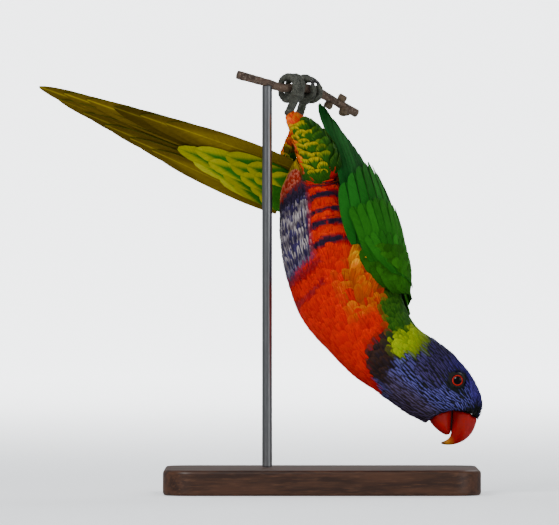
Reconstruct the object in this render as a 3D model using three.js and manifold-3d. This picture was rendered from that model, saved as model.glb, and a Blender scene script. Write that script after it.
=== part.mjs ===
// Rainbow lorikeet, life size, hanging head down from a short length of branch on a display stand.
//
// Millimetres, +Z up. The origin is the centre of the stand's underside. The bird's right side and
// part of its belly face -Y, its head points down and to +X, and its tail points to -X.
// The body is lofted through named sections. Each flight and tail feather is a thin vane, rooted
// in its wing or tail and lying over the next one like a roof tile.

import * as THREE from 'three';
import { mergeVertices } from 'three/addons/utils/BufferGeometryUtils.js';
import Module from 'manifold-3d';

const wasm = await Module();
wasm.setup();

const { lerp, clamp, degToRad } = THREE.MathUtils;
const vec = (x, y, z) => new THREE.Vector3(x, y, z);

// Clearance between nodes, and how finely round forms are faceted
const GAP = 0.3;
const TRUNK_CLEARANCE = 0.45;
const BODY_SIDES = 24;
const BILL_SIDES = 14;
const THIGH_SIDES = 14;
const THIGH_STEPS = 9;
const TOE_SIDES = 6;

// Display stand
const BASE_LENGTH = 150;
const BASE_DEPTH = 110;
const BASE_THICKNESS = 12;
const BASE_CORNER = 14;
const BASE_CHAMFER = 1.5;
const BASE_SIDES = 24;
const ROD_RADIUS = 2.4;
const ROD_X = -26;

// Perch: a cut length of branch, swollen at its knot, with woody seed capsules near one end
const PERCH_ROUTE = [
  vec(-40, -9, 199.0),
  vec(-28, -4, 195.8),
  vec(-18.3, 2.5, 193.0),
  vec(-9.5, 13, 193.4),
  vec(-2, 24, 191.5),
  vec(6, 33, 187.5),
  vec(17, 41, 181.5),
];
const PERCH_RADIUS = 2.1;
const PERCH_KNOT = 0.5;
const PERCH_KNOT_AT = 0.62;
const PERCH_RIPPLE = 0.12;
const PERCH_SIDES = 10;
const PERCH_STEPS = 22;
const CAPSULE_RADIUS = 2.3;
const CAPSULE_HEIGHT = 3.6;
const CAPSULES = [
  { at: 0.8, turn: 250 },
  { at: 0.86, turn: 60 },
  { at: 0.9, turn: 200 },
  { at: 0.955, turn: 300 },
];

// Head: the eyes, their lids, the nostrils and the hollow of the face that the bill fills
const MEDIAN_Y = -20;
const EYE = { x: 64.1, z: 54.1, radius: 3.9, out: 12.6 };
const LID = { radius: 3.3, tube: 0.6, sink: 0.95 };
const NOSTRIL = { x: 72.4, z: 40.2, out: 5.6, radius: 0.85 };
const FACE_HOLLOW = { x: 62.4, z: 24.2, radius: 16 };

// A section of the body: its back and belly points as seen from the side, how far it lies from
// the viewer, its half width across, and how far it has rolled to show the belly, in degrees
const section = (back, belly, y, width, roll) => ({ back, belly, y, width, roll });
const BODY = {
  lips: section([74.0, 35.2], [52.0, 31.6], MEDIAN_Y, 7.6, 0),
  face: section([75.6, 39.6], [51.0, 33.4], MEDIAN_Y, 9.6, 0),
  forehead: section([76.2, 44.4], [49.2, 33.8], MEDIAN_Y, 11.4, 0),
  eye: section([73.8, 51.6], [45.6, 35.4], MEDIAN_Y, 13.0, 0),
  crown: section([69.2, 59.0], [41.0, 37.6], MEDIAN_Y, 14.2, 0),
  nape: section([61.8, 67.4], [34.0, 42.4], MEDIAN_Y, 15.4, 2),
  neck: section([53.4, 73.6], [26.4, 48.0], -19.8, 16.8, 5),
  shoulder: section([44.6, 80.2], [15.2, 55.4], -18.0, 19.5, 12),
  breast: section([39.0, 91.6], [1.6, 69.4], -12.6, 23.0, 20),
  keel: section([35.4, 105.4], [-10.2, 83.4], -5.4, 25.2, 27),
  belly: section([31.4, 119.8], [-17.2, 103.2], 1.8, 25.4, 32),
  flank: section([26.2, 132.8], [-20.0, 120.4], 9.2, 23.6, 37),
  vent: section([17.4, 145.6], [-20.0, 136.0], 16.6, 19.6, 42),
  rump: section([5.0, 157.6], [-18.4, 144.4], 22.0, 15.0, 45),
  root: section([-6.5, 162.0], [-15.0, 149.0], 25.0, 10.0, 45),
};
const SECTION_NAMES = Object.keys(BODY);
const at = (name) => SECTION_NAMES.indexOf(name) / (SECTION_NAMES.length - 1);
const HEAD_END = at('nape') + 0.015;

// Lengths of the body that are nodes of their own: from, to and rings
const HEAD_SPAN = [0, HEAD_END, 14];
const TRUNK = {
  neck: { span: [HEAD_END, at('breast'), 8], finish: 'violet' },
  torso: { span: [at('breast'), at('vent') + 0.015, 12], finish: 'scarlet' },
  rump: { span: [at('vent') + 0.015, 1, 7], finish: 'green' },
};

// Bill halves, each from the face to its tip: profile points from the side, and half width
const UPPER_BILL = [
  { top: [74.8, 41.5], under: [62.1, 42.5], width: 6.8 },
  { top: [73.4, 35.2], under: [61.9, 36.0], width: 6.4 },
  { top: [72.0, 30.4], under: [61.6, 31.6], width: 5.4 },
  { top: [68.6, 26.3], under: [61.3, 28.6], width: 4.0 },
  { top: [64.0, 24.0], under: [60.7, 26.8], width: 2.4 },
  { top: [59.8, 23.5], under: [58.9, 25.3], width: 1.1 },
  { top: [56.8, 24.0], under: [56.8, 24.5], width: 0.35 },
];
const LOWER_BILL = [
  { top: [61.75, 42.0], under: [50.2, 39.0], width: 6.4 },
  { top: [61.5, 36.4], under: [51.2, 35.0], width: 6.0 },
  { top: [61.2, 32.4], under: [53.4, 31.9], width: 4.8 },
  { top: [60.9, 30.0], under: [56.4, 29.5], width: 3.0 },
  { top: [60.6, 28.7], under: [58.9, 28.2], width: 1.3 },
];

// Wing: a guide surface over the back and side, running straight on past the rump. Each stop has
// a middle, half depth, half width and roll
const guide = (middle, depth, width, roll) => ({ middle, shape: vec(depth, width, roll) });
const WING_GUIDE = [
  guide(vec(22.0, -14.0, 83.0), 20.5, 20.5, 17),
  guide(vec(14.0, -5.0, 100.0), 24.5, 25.0, 26),
  guide(vec(8.8, 4.5, 119.0), 26.0, 26.0, 32),
  guide(vec(4.6, 13.0, 136.0), 24.5, 24.0, 37),
  guide(vec(1.4, 20.5, 150.0), 22.0, 20.0, 42),
  guide(vec(-1.6, 28.0, 164.0), 19.0, 15.0, 45),
  guide(vec(-4.8, 36.0, 180.0), 16.5, 9.5, 45),
  guide(vec(-8.0, 44.0, 196.0), 14.5, 7.0, 45),
];

// The far wing is held higher, clear of the far leg
const WING_TOP = 84;
const WING_FOLD = { right: 1, left: 0.68 };

// Tiers of a wing. Places are a share of the guide and degrees round it from the side to the
// back, for the feather nearest the back and the lowest one; bow moves the middle tips outwards
const WING_TIERS = [
  {
    name: 'primaries', count: 7, root: [[0.30, 20], [0.24, -13]], tip: [[0.62, 24], [0.87, -10]],
    bow: 0.02, width: 8.6, level: 0.9, lean: 0.2, blunt: 0.3, steps: 4,
  },
  {
    name: 'secondaries', count: 6, root: [[0.16, 70], [0.18, -12]], tip: [[0.50, 72], [0.42, -17]],
    bow: 0.1, width: 10.6, level: 2.7, lean: 0.19, blunt: 0.22, steps: 4,
  },
  {
    name: 'greater coverts', count: 6, root: [[0.09, 68], [0.10, 8]], tip: [[0.34, 70], [0.31, -13]],
    bow: 0.03, width: 12.0, level: 3.7, lean: 0.16, blunt: 0.35, steps: 3,
  },
  {
    name: 'median coverts', count: 5, root: [[0.03, 66], [0.05, 34]], tip: [[0.21, 68], [0.20, -3]],
    bow: 0.02, width: 13.0, level: 4.1, lean: 0.14, blunt: 0.45, steps: 3,
  },
];

// Arm of the wing, which carries the roots: where it runs, its edges and the height of its top
const ARM = {
  shares: [0.02, 0.05, 0.1, 0.16, 0.22, 0.28, 0.34],
  low: [44, 32, 14, -4, -14, -16, -17],
  high: [74, 77, 79, 79, 78, 78, 77],
  top: [2.0, 3.8, 4.8, 4.4, 3.5, 2.5, 1.4],
  edge: 0.3,
  inside: -3,
  across: 6,
};

// Tail: a long wedge of graded feathers, its underside towards the viewer
const TAIL_ROOT = vec(-14, 25, 148.5);
const TAIL_TIP = vec(-135, 0, 192);
const TAIL_ACROSS = vec(-0.3, 0.6, -0.74);
const TAIL_SWAY = 4.6;
const TAIL_GRADES = [1, 0.91, 0.815, 0.715, 0.615, 0.52];
const TAIL_WEDGE = { width: 18, power: 1.45 };
const TAIL_FEATHER = { width: 11.8, level: 1.5, lean: 0.14, blunt: 0.32, steps: 4 };
const TAIL_PITCH = 2.2;
const TAIL_DROP = 0.62;
const TAIL_COVERT = { width: 9.5, blunt: 0.45, steps: 3 };
const TAIL_COVERTS = [
  { ...TAIL_COVERT, count: 5, spread: 8.6, root: 0, tip: [26, 50], level: -3.4, lean: -0.13 },
  { ...TAIL_COVERT, count: 5, spread: 7.4, root: -3, tip: [12, 26], level: -4.5, lean: -0.13 },
  { ...TAIL_COVERT, count: 4, spread: 6.0, root: 0, tip: [22, 36], level: 3.3, lean: 0.13 },
];
const TAIL_CORE = { from: -5, to: 20, width: [6.5, 8.5], thick: [5.2, 1.6] };

// Legs: the feathered thigh's route, then the bare shank to the palm, and where it holds the perch
const LEGS = {
  right: {
    route: [vec(1.4, 11, 146), vec(-1.0, -1.5, 158), vec(-5.6, -6.2, 168.6), vec(-15.8, -8, 180.5)],
    palm: vec(-17.4, -2.6, 189.4),
    hold: 0.385,
    thick: 11.3,
    taper: 2.4,
  },
  left: {
    route: [vec(-9, 29, 134), vec(-17.5, 40, 142.5), vec(-16.8, 41.4, 156), vec(-12.5, 34, 174)],
    palm: vec(-7.4, 18.6, 189.0),
    hold: 0.56,
    thick: 6.6,
    taper: 1.2,
  },
};
const ANKLE_RADIUS = 2.9;
const SHANK_RADIUS = 2.0;
const PALM_RADIUS = 3.5;

// Toes: two go over the perch and two under it. Degrees are round the perch from the palm
const TOES = [
  { from: 8, to: 205, shift: -2.6, thick: 2.2, scutes: 7 },
  { from: 8, to: 190, shift: 2.4, thick: 2.1, scutes: 6 },
  { from: -8, to: -128, shift: -2.9, thick: 2.0, scutes: 4 },
  { from: -8, to: -142, shift: 2.7, thick: 2.1, scutes: 5 },
];
const TOE_ARCH = 1.3;
const SCUTE_STEP = 0.12;
const CLAW = { turn: 58, radius: 1.05, lift: 0.5, steps: 3 };

// Feather plates
const VANE_THICKNESS = 0.55;
const VANE_THINNING = 0.6;
const VANE_ROOT = 0.6;
const VANE_TIP = 0.3;
const VANE_CROWDING = 1.6;

// Finishes: colour, roughness, metalness
const FINISH = {
  violet: [0x3b3f8f, 0.75, 0],
  green: [0x1d6b1f, 0.7, 0],
  scarlet: [0xd8380d, 0.75, 0],
  olive: [0x6c6a12, 0.7, 0],
  bill: [0xd2351a, 0.35, 0],
  iris: [0x9a1410, 0.15, 0],
  foot: [0x3f443f, 0.7, 0],
  bark: [0x6d4a33, 0.9, 0],
  wood: [0x4a2f1f, 0.5, 0],
  steel: [0x8d9093, 0.3, 1],
};

// A seeded draw from -1 to 1, so that feathers vary and every build is the same
function drawer(seed) {
  let state = seed;
  return () => {
    state = (Math.imul(state, 1664525) + 1013904223) >>> 0;
    return state / 2 ** 31 - 1;
  };
}

// Closed faceted surfaces, as solids and back

function toSolid(geometry) {
  const bare = geometry.clone();
  for (const name of Object.keys(bare.attributes)) {
    if (name !== 'position') bare.deleteAttribute(name);
  }
  const merged = mergeVertices(bare, 1e-4);
  return new wasm.Manifold(new wasm.Mesh({
    numProp: 3,
    vertProperties: new Float32Array(merged.attributes.position.array),
    triVerts: new Uint32Array(merged.index.array),
  }));
}

// A solid from points and triangles, turned the right way out
function closed(points, index) {
  const geometry = new THREE.BufferGeometry();
  geometry.setAttribute('position', new THREE.Float32BufferAttribute(
    points.flatMap((point) => [point.x, point.y, point.z]), 3));
  geometry.setIndex(index);
  const solid = toSolid(geometry);
  if (solid.volume() > 0) return solid;
  geometry.setIndex([...index].reverse());
  return toSolid(geometry);
}

// The largest closed surface of a solid
function toGeometry(solid) {
  const parts = solid.decompose();
  parts.sort((one, other) => other.volume() - one.volume());
  const { vertProperties, triVerts } = parts[0].getMesh();
  const geometry = new THREE.BufferGeometry();
  geometry.setAttribute('position', new THREE.BufferAttribute(vertProperties, 3));
  geometry.setIndex(new THREE.BufferAttribute(triVerts, 1));
  geometry.computeVertexNormals();
  return geometry;
}

const fuse = (solids) => solids.reduce((whole, piece) => whole.add(piece));
const curveThrough = (points) => new THREE.CatmullRomCurve3(points, false, 'catmullrom', 0.5);

// A closed skin through rings of points that all have the same count, each end capped
function loft(rings) {
  const sides = rings[0].length;
  const centre = (ring) => ring.reduce((sum, point) => sum.add(point), vec(0, 0, 0))
    .divideScalar(sides);
  const last = (rings.length - 1) * sides;
  const points = [...rings.flat(), centre(rings[0]), centre(rings[rings.length - 1])];
  const pole = rings.length * sides;
  const index = [];
  for (let side = 0; side < sides; side += 1) {
    const next = (side + 1) % sides;
    for (let ring = 0; ring < last; ring += sides) {
      index.push(ring + side, ring + next, ring + side + sides);
      index.push(ring + next, ring + next + sides, ring + side + sides);
    }
    index.push(pole, next, side);
    index.push(pole + 1, last + side, last + next);
  }
  return closed(points, index);
}

// A round-sectioned limb along a route, with a radius for each share of its length
function limb(route, radius, sides, steps, grow = 0) {
  const curve = new THREE.CatmullRomCurve3(route);
  const frames = curve.computeFrenetFrames(steps, false);
  const rings = [];
  for (let step = 0; step <= steps; step += 1) {
    const past = step === 0 ? -grow : (step === steps ? grow : 0);
    const middle = curve.getPointAt(step / steps).addScaledVector(frames.tangents[step], past);
    const reach = radius(step / steps) + grow;
    rings.push(Array.from({ length: sides }, (_, side) => {
      const angle = 2 * Math.PI * side / sides;
      return middle.clone()
        .addScaledVector(frames.normals[step], Math.cos(angle) * reach)
        .addScaledVector(frames.binormals[step], Math.sin(angle) * reach);
    }));
  }
  return loft(rings);
}

function ball(centre, radius, around = 14, down = 9) {
  const geometry = new THREE.SphereGeometry(radius, around, down);
  geometry.rotateX(Math.PI / 2);
  geometry.translate(centre.x, centre.y, centre.z);
  return toSolid(geometry);
}

// A closed plate between two grids of points, cut into the same triangles on both faces
function plate(top, under) {
  const columns = top[0].length;
  const last = (top.length - 1) * columns;
  const below = top.length * columns;
  const index = [];
  for (let row = 0; row < last; row += columns) {
    for (let near = row; near + 1 < row + columns; near += 1) {
      const far = near + columns;
      index.push(near, near + 1, far + 1, near, far + 1, far);
      index.push(near + below, far + below + 1, near + below + 1);
      index.push(near + below, far + below, far + below + 1);
    }
  }
  const across = Array.from({ length: columns - 1 }, (_, column) => column);
  const down = Array.from({ length: top.length - 1 }, (_, row) => row * columns);
  const edge = [
    ...across,
    ...down.map((start) => start + columns - 1),
    ...across.map((column) => last + columns - 1 - column),
    ...down.map((start) => last - start),
  ];
  edge.forEach((from, step) => {
    const to = edge[(step + 1) % edge.length];
    index.push(to, from, from + below, to, from + below, to + below);
  });
  return closed([...top.flat(), ...under.flat()], index);
}

// One feather: a thin plate along its shaft. place(share, across, height) puts it in the world,
// with share from root to tip; lean raises one edge over the neighbour's
function vane(place, { width, lean, blunt, steps }) {
  const stops = Array.from({ length: steps + 1 }, (_, step) => 1 - (1 - step / steps) ** VANE_CROWDING);
  const face = (side) => stops.map((share) => {
    const rounding = clamp((share - (1 - blunt)) / blunt, 0, 1);
    const spread = lerp(VANE_ROOT, 1, clamp(share / 0.3, 0, 1)) * Math.sqrt(1 - rounding ** 2.4);
    const half = Math.max(width / 2 * spread, VANE_TIP);
    const lift = side * VANE_THICKNESS / 2 * lerp(1, VANE_THINNING, share);
    return [-1, 1].map((edge) => place(share, edge * half, lean * edge * half + lift));
  });
  return plate(face(1), face(-1));
}

// Body sections

const sections = Object.values(BODY);
const backCurve = curveThrough(sections.map((one) => vec(one.back[0], one.y, one.back[1])));
const bellyCurve = curveThrough(sections.map((one) => vec(one.belly[0], one.y, one.belly[1])));
const shapeCurve = curveThrough(sections.map((one) => vec(one.width, one.roll, 0)));

function middleAt(share) {
  return backCurve.getPoint(share).add(bellyCurve.getPoint(share)).multiplyScalar(0.5);
}

// Two directions turned by a roll: towards the back and towards the bird's right
function rolled(up, along, degrees) {
  const near = up.clone().cross(along).normalize();
  const roll = degToRad(degrees);
  return {
    back: up.clone().multiplyScalar(Math.cos(roll)).addScaledVector(near, -Math.sin(roll)),
    right: near.clone().multiplyScalar(Math.cos(roll)).addScaledVector(up, Math.sin(roll)),
  };
}

function bodyRing(share, grow, shift) {
  const back = backCurve.getPoint(share);
  const belly = bellyCurve.getPoint(share);
  const step = 0.004;
  const along = middleAt(Math.min(1, share + step))
    .sub(middleAt(Math.max(0, share - step)))
    .normalize();
  const shape = shapeCurve.getPoint(share);
  const turned = rolled(back.clone().sub(belly).normalize(), along, shape.y);
  const depth = back.distanceTo(belly) / 2 + grow;
  const middle = middleAt(share).addScaledVector(along, shift);
  return Array.from({ length: BODY_SIDES }, (_, side) => {
    const angle = 2 * Math.PI * side / BODY_SIDES;
    return middle.clone()
      .addScaledVector(turned.back, Math.cos(angle) * depth)
      .addScaledVector(turned.right, Math.sin(angle) * (shape.x + grow));
  });
}

// A length of the body, stopping half a gap short of its neighbours, or grown all round
function bodyLength([from, to, steps], grow = 0) {
  const inset = grow > 0 ? -grow : GAP / 2;
  const rings = [];
  for (let step = 0; step <= steps; step += 1) {
    const shift = step === 0 ? inset : (step === steps ? -inset : 0);
    rings.push(bodyRing(lerp(from, to, step / steps), grow, shift));
  }
  return loft(rings);
}

const trunkGrown = fuse(Object.values(TRUNK).map(({ span }) => bodyLength(span, TRUNK_CLEARANCE)));

// Head, eyes and bill

const mirrored = { right: -1, left: 1 };

function eyeball(side, grow = 0) {
  const middle = MEDIAN_Y + mirrored[side] * (EYE.out - EYE.radius);
  return ball(vec(EYE.x, middle, EYE.z), EYE.radius + grow, 12, 8);
}

// The ring of lids round an eye
function lids(side) {
  const geometry = new THREE.TorusGeometry(LID.radius, LID.tube, 5, 16);
  geometry.rotateX(Math.PI / 2);
  geometry.translate(EYE.x, MEDIAN_Y + mirrored[side] * (EYE.out - LID.sink), EYE.z);
  return toSolid(geometry);
}

// The hollow front of the face, a round cut across it
function faceHollow(radius) {
  const geometry = new THREE.CylinderGeometry(radius, radius, 60, 40);
  geometry.translate(FACE_HOLLOW.x, MEDIAN_Y, FACE_HOLLOW.z);
  return toSolid(geometry);
}

function headSolid() {
  let head = bodyLength(HEAD_SPAN).subtract(faceHollow(FACE_HOLLOW.radius));
  for (const side of ['right', 'left']) {
    const nostril = ball(
      vec(NOSTRIL.x, MEDIAN_Y + mirrored[side] * NOSTRIL.out, NOSTRIL.z), NOSTRIL.radius, 8, 6);
    head = head.add(lids(side)).subtract(eyeball(side, GAP)).subtract(nostril);
  }
  return head;
}

function billHalf(stations, steps) {
  const top = curveThrough(stations.map((one) => vec(one.top[0], MEDIAN_Y, one.top[1])));
  const under = curveThrough(stations.map((one) => vec(one.under[0], MEDIAN_Y, one.under[1])));
  const width = curveThrough(stations.map((one) => vec(one.width, 0, 0)));
  const rings = [];
  for (let step = 0; step <= steps; step += 1) {
    const share = step / steps;
    const middle = top.getPoint(share).add(under.getPoint(share)).multiplyScalar(0.5);
    const reach = top.getPoint(share).sub(middle);
    rings.push(Array.from({ length: BILL_SIDES }, (_, side) => {
      const angle = 2 * Math.PI * side / BILL_SIDES;
      return middle.clone()
        .addScaledVector(reach, Math.cos(angle))
        .add(vec(0, -width.getPoint(share).x * Math.sin(angle), 0));
    }));
  }
  const headGrown = bodyLength(HEAD_SPAN, GAP).subtract(faceHollow(FACE_HOLLOW.radius - GAP));
  return loft(rings).subtract(headGrown);
}

// Wings

const guideMiddle = curveThrough(WING_GUIDE.map((one) => one.middle));
const guideShape = curveThrough(WING_GUIDE.map((one) => one.shape));

// A place over the guide: share along it, degrees from the side towards the back, and height
function wingPlace(side, share, degrees, height) {
  const along = guideMiddle.getTangent(share);
  const up = vec(0, 1, 0).cross(along).normalize();
  const shape = guideShape.getPoint(share);
  const turned = rolled(up, along, shape.z);
  const angle = degToRad(WING_TOP - (WING_TOP - degrees) * WING_FOLD[side]);
  return guideMiddle.getPoint(share)
    .addScaledVector(turned.back, Math.sin(angle) * (shape.x + height))
    .addScaledVector(turned.right, -mirrored[side] * Math.cos(angle) * (shape.y + height));
}

// Degrees round the guide for a distance across it
function wingDegrees(side, share, across) {
  const shape = guideShape.getPoint(share);
  return across / (shape.x + shape.y) * 2 * 180 / Math.PI / WING_FOLD[side];
}

function wingTier(side, tier, draw) {
  const count = Math.round(tier.count * (1 + WING_FOLD[side]) / 2);
  return Array.from({ length: count }, (_, feather) => {
    const order = feather / (count - 1);
    const blend = (pair, part) => lerp(pair[0][part], pair[1][part], order);
    const reach = tier.bow * Math.sin(Math.PI * order) + 0.008 * draw();
    const root = [blend(tier.root, 0), blend(tier.root, 1)];
    const tip = [blend(tier.tip, 0) + reach, blend(tier.tip, 1) + 0.8 * draw()];
    const place = (share, across, height) => {
      const along = lerp(root[0], tip[0], share);
      const degrees = lerp(root[1], tip[1], share) - wingDegrees(side, along, across);
      return wingPlace(side, along, degrees, tier.level + height);
    };
    return vane(place, tier);
  });
}

function wingArm(side) {
  const face = (height) => ARM.shares.map((share, stop) => (
    Array.from({ length: ARM.across + 1 }, (_, step) => {
      const across = step / ARM.across;
      const degrees = lerp(ARM.low[stop], ARM.high[stop], across);
      const bulge = Math.sqrt(1 - Math.abs(2 * across - 1) ** 4);
      return wingPlace(side, share, degrees, height(ARM.top[stop], bulge));
    })));
  return plate(face((top, bulge) => lerp(ARM.edge, top, bulge)), face(() => ARM.inside));
}

function wingSolid(side) {
  const draw = drawer(side === 'right' ? 11 : 23);
  const feathers = WING_TIERS.flatMap((tier) => wingTier(side, tier, draw));
  return fuse([wingArm(side), ...feathers])
    .subtract(trunkGrown)
    .subtract(thighSolid(LEGS[side], GAP));
}

// Tail

const tailAxis = TAIL_TIP.clone().sub(TAIL_ROOT).normalize();
const tailLeft = TAIL_ACROSS.clone()
  .addScaledVector(tailAxis, -TAIL_ACROSS.dot(tailAxis))
  .normalize();
const tailBack = tailLeft.clone().cross(tailAxis).normalize();
const TAIL_LENGTH = TAIL_TIP.distanceTo(TAIL_ROOT);

// The tail sways to the bird's left near its root
function tailPlace(along, left, back) {
  const sway = TAIL_SWAY * (1 - along / TAIL_LENGTH) ** 2;
  return TAIL_ROOT.clone()
    .addScaledVector(tailAxis, along)
    .addScaledVector(tailLeft, left + sway)
    .addScaledVector(tailBack, back);
}

// One tail feather of a pair: the outer pairs are shorter and lie under the inner ones
function tailFeather(pair, side, draw) {
  const grade = TAIL_GRADES[pair];
  const rooted = side * TAIL_PITCH * (pair + 0.9);
  const tipped = side * (0.75 * TAIL_WEDGE.width * (1 - grade ** TAIL_WEDGE.power) + 0.6);
  const over = pair === 0 && side > 0 ? 1.5 * TAIL_DROP : 0;
  const level = TAIL_FEATHER.level - TAIL_DROP * pair + over;
  const length = grade * TAIL_LENGTH * (1 + 0.006 * draw());
  const place = (share, across, height) => tailPlace(
    share * length, lerp(rooted, tipped, share) + side * across, level + height);
  return vane(place, TAIL_FEATHER);
}

function tailCovertTier(tier, draw) {
  return Array.from({ length: tier.count }, (_, feather) => {
    const order = 2 * feather / (tier.count - 1) - 1;
    const length = lerp(tier.tip[1], tier.tip[0], Math.abs(order)) * (1 + 0.05 * draw());
    const rooted = order * tier.spread;
    const place = (share, across, height) => tailPlace(
      lerp(tier.root, length, share), rooted * lerp(1, 0.8, share) + across,
      tier.level + height);
    return vane(place, tier);
  });
}

function tailCore() {
  const rings = [];
  const steps = 5;
  for (let step = 0; step <= steps; step += 1) {
    const share = step / steps;
    rings.push(Array.from({ length: 14 }, (_, side) => {
      const angle = 2 * Math.PI * side / 14;
      return tailPlace(
        lerp(TAIL_CORE.from, TAIL_CORE.to, share),
        Math.cos(angle) * lerp(...TAIL_CORE.width, share),
        Math.sin(angle) * lerp(...TAIL_CORE.thick, share) - 0.4);
    }));
  }
  return loft(rings);
}

function tailSolid() {
  const draw = drawer(5);
  const feathers = [];
  for (let pair = TAIL_GRADES.length - 1; pair >= 0; pair -= 1) {
    feathers.push(tailFeather(pair, 1, draw), tailFeather(pair, -1, draw));
  }
  const coverts = TAIL_COVERTS.flatMap((tier) => tailCovertTier(tier, draw));
  const rumpBehind = bodyLength(TRUNK.rump.span, GAP)
    .translate(tailAxis.clone().multiplyScalar(GAP).toArray());
  return fuse([tailCore(), ...feathers, ...coverts])
    .subtract(trunkGrown)
    .subtract(rumpBehind)
    .subtract(thighSolid(LEGS.left, GAP));
}

// Perch

const perchCurve = new THREE.CatmullRomCurve3(PERCH_ROUTE);
const perchRadius = (share) => PERCH_RADIUS
  + PERCH_KNOT * Math.exp(-(((share - PERCH_KNOT_AT) / 0.08) ** 2))
  + PERCH_RIPPLE * Math.sin(share * 47) * Math.sin(share * 19 + 1);
const perchStem = (grow = 0) => limb(PERCH_ROUTE, perchRadius, PERCH_SIDES, PERCH_STEPS, grow);

// A seed capsule: a small woody urn with a sunken mouth, seated on the stem
function capsule({ at: share, turn }) {
  const r = CAPSULE_RADIUS;
  const h = CAPSULE_HEIGHT;
  const profile = [[0, 0], [0.6 * r, 0.05 * h], [r, 0.45 * h], [0.9 * r, 0.9 * h], [0.55 * r, h],
    [0.4 * r, 0.8 * h], [0, 0.75 * h]];
  const geometry = new THREE.LatheGeometry(profile.map(([x, y]) => new THREE.Vector2(x, y)), 7);
  const along = perchCurve.getTangentAt(share);
  const side = vec(0, 0, 1).cross(along).normalize();
  const out = side.clone().applyAxisAngle(along, degToRad(turn));
  geometry.applyQuaternion(new THREE.Quaternion().setFromUnitVectors(vec(0, 1, 0), out));
  const seat = perchCurve.getPointAt(share).addScaledVector(out, PERCH_RADIUS * 0.55);
  geometry.translate(seat.x, seat.y, seat.z);
  return toSolid(geometry);
}

// Legs

const thighSolid = (leg, grow = 0) => limb(
  leg.route, (share) => lerp(leg.thick, ANKLE_RADIUS, share ** leg.taper), THIGH_SIDES, THIGH_STEPS, grow);

// Where a foot holds the perch: the middle of the stem, along it, out to the palm, and round it
function holdFrame(leg) {
  const middle = perchCurve.getPointAt(leg.hold);
  const along = perchCurve.getTangentAt(leg.hold);
  const out = leg.palm.clone().sub(middle);
  out.addScaledVector(along, -out.dot(along)).normalize();
  const round = along.clone().cross(out).normalize();
  if (round.z < 0) round.negate();
  return { middle, along, out, round };
}

// A ring of a toe or claw at a turn round the perch
function toeRing(frame, degrees, shift, distance, radius) {
  const angle = degToRad(degrees);
  const outward = frame.out.clone().multiplyScalar(Math.cos(angle))
    .addScaledVector(frame.round, Math.sin(angle));
  const middle = frame.middle.clone()
    .addScaledVector(outward, distance)
    .addScaledVector(frame.along, shift);
  return Array.from({ length: TOE_SIDES }, (_, side) => {
    const turn = 2 * Math.PI * side / TOE_SIDES;
    return middle.clone()
      .addScaledVector(outward, Math.cos(turn) * radius)
      .addScaledVector(frame.along, Math.sin(turn) * radius);
  });
}

function toeSolid(frame, toe) {
  const rings = [];
  const distanceAt = (share) => PERCH_RADIUS + GAP + toe.thick * 0.92
    + TOE_ARCH * Math.sin(Math.PI * clamp(share * 1.1, 0, 1));
  for (let scute = 0; scute < toe.scutes; scute += 1) {
    for (const [part, swell] of [[0.04, 1 + SCUTE_STEP], [0.94, 1]]) {
      const share = (scute + part) / toe.scutes;
      const radius = toe.thick * lerp(1, 0.72, share) * swell / (1 + SCUTE_STEP);
      rings.push(toeRing(
        frame, lerp(toe.from, toe.to, share), toe.shift * lerp(0.7, 1, share), distanceAt(share), radius));
    }
  }
  return loft(rings);
}

function clawSolid(frame, toe) {
  const rings = [];
  const turn = Math.sign(toe.to) * CLAW.turn;
  for (let step = 0; step <= CLAW.steps; step += 1) {
    const share = step / CLAW.steps;
    const distance = PERCH_RADIUS + GAP + toe.thick * 0.92 + CLAW.lift * Math.sin(Math.PI * share);
    const radius = Math.max(CLAW.radius * (1 - share ** 1.4), 0.22);
    rings.push(toeRing(frame, toe.to - turn * 0.15 + turn * share, toe.shift, distance, radius));
  }
  return loft(rings);
}

function footSolid(leg) {
  const frame = holdFrame(leg);
  const ankle = leg.route[leg.route.length - 1];
  const palm = frame.middle.clone()
    .addScaledVector(frame.out, PERCH_RADIUS + GAP + PALM_RADIUS * 0.72);
  const shank = limb(
    [ankle, ankle.clone().lerp(palm, 0.5), palm],
    (share) => SHANK_RADIUS * (1.1 - 0.12 * ((share * 7) % 1)), 8, 7);
  const toes = TOES.flatMap((toe) => [toeSolid(frame, toe), clawSolid(frame, toe)]);
  return fuse([shank, ball(palm, PALM_RADIUS, 8, 6), ...toes])
    .subtract(perchStem(GAP))
    .subtract(thighSolid(leg, GAP));
}

// Stand

function standBase() {
  const levels = [
    { height: 0, inset: BASE_CHAMFER },
    { height: BASE_CHAMFER, inset: 0 },
    { height: BASE_THICKNESS - BASE_CHAMFER, inset: 0 },
    { height: BASE_THICKNESS, inset: BASE_CHAMFER },
  ];
  return loft(levels.map(({ height, inset }) => Array.from({ length: BASE_SIDES }, (_, side) => {
    const angle = 2 * Math.PI * (side + 0.5) / BASE_SIDES;
    const x = Math.sign(Math.cos(angle)) * (BASE_LENGTH / 2 - BASE_CORNER);
    const y = Math.sign(Math.sin(angle)) * (BASE_DEPTH / 2 - BASE_CORNER);
    const reach = BASE_CORNER - inset;
    return vec(x + Math.cos(angle) * reach, y + Math.sin(angle) * reach, height);
  })));
}

// The rod from the base up to the perch, its top cut to the perch's underside
function standRod() {
  let share = 0;
  while (perchCurve.getPointAt(share).x < ROD_X) share += 0.002;
  const held = perchCurve.getPointAt(share);
  const height = held.z - BASE_THICKNESS - GAP - PERCH_RADIUS / 2;
  const geometry = new THREE.CylinderGeometry(ROD_RADIUS, ROD_RADIUS, height, 16);
  geometry.rotateX(Math.PI / 2);
  geometry.translate(held.x, held.y, BASE_THICKNESS + GAP + height / 2);
  return toSolid(geometry).subtract(perchStem(GAP));
}

// The whole

const lorikeet = new THREE.Group();

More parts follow.
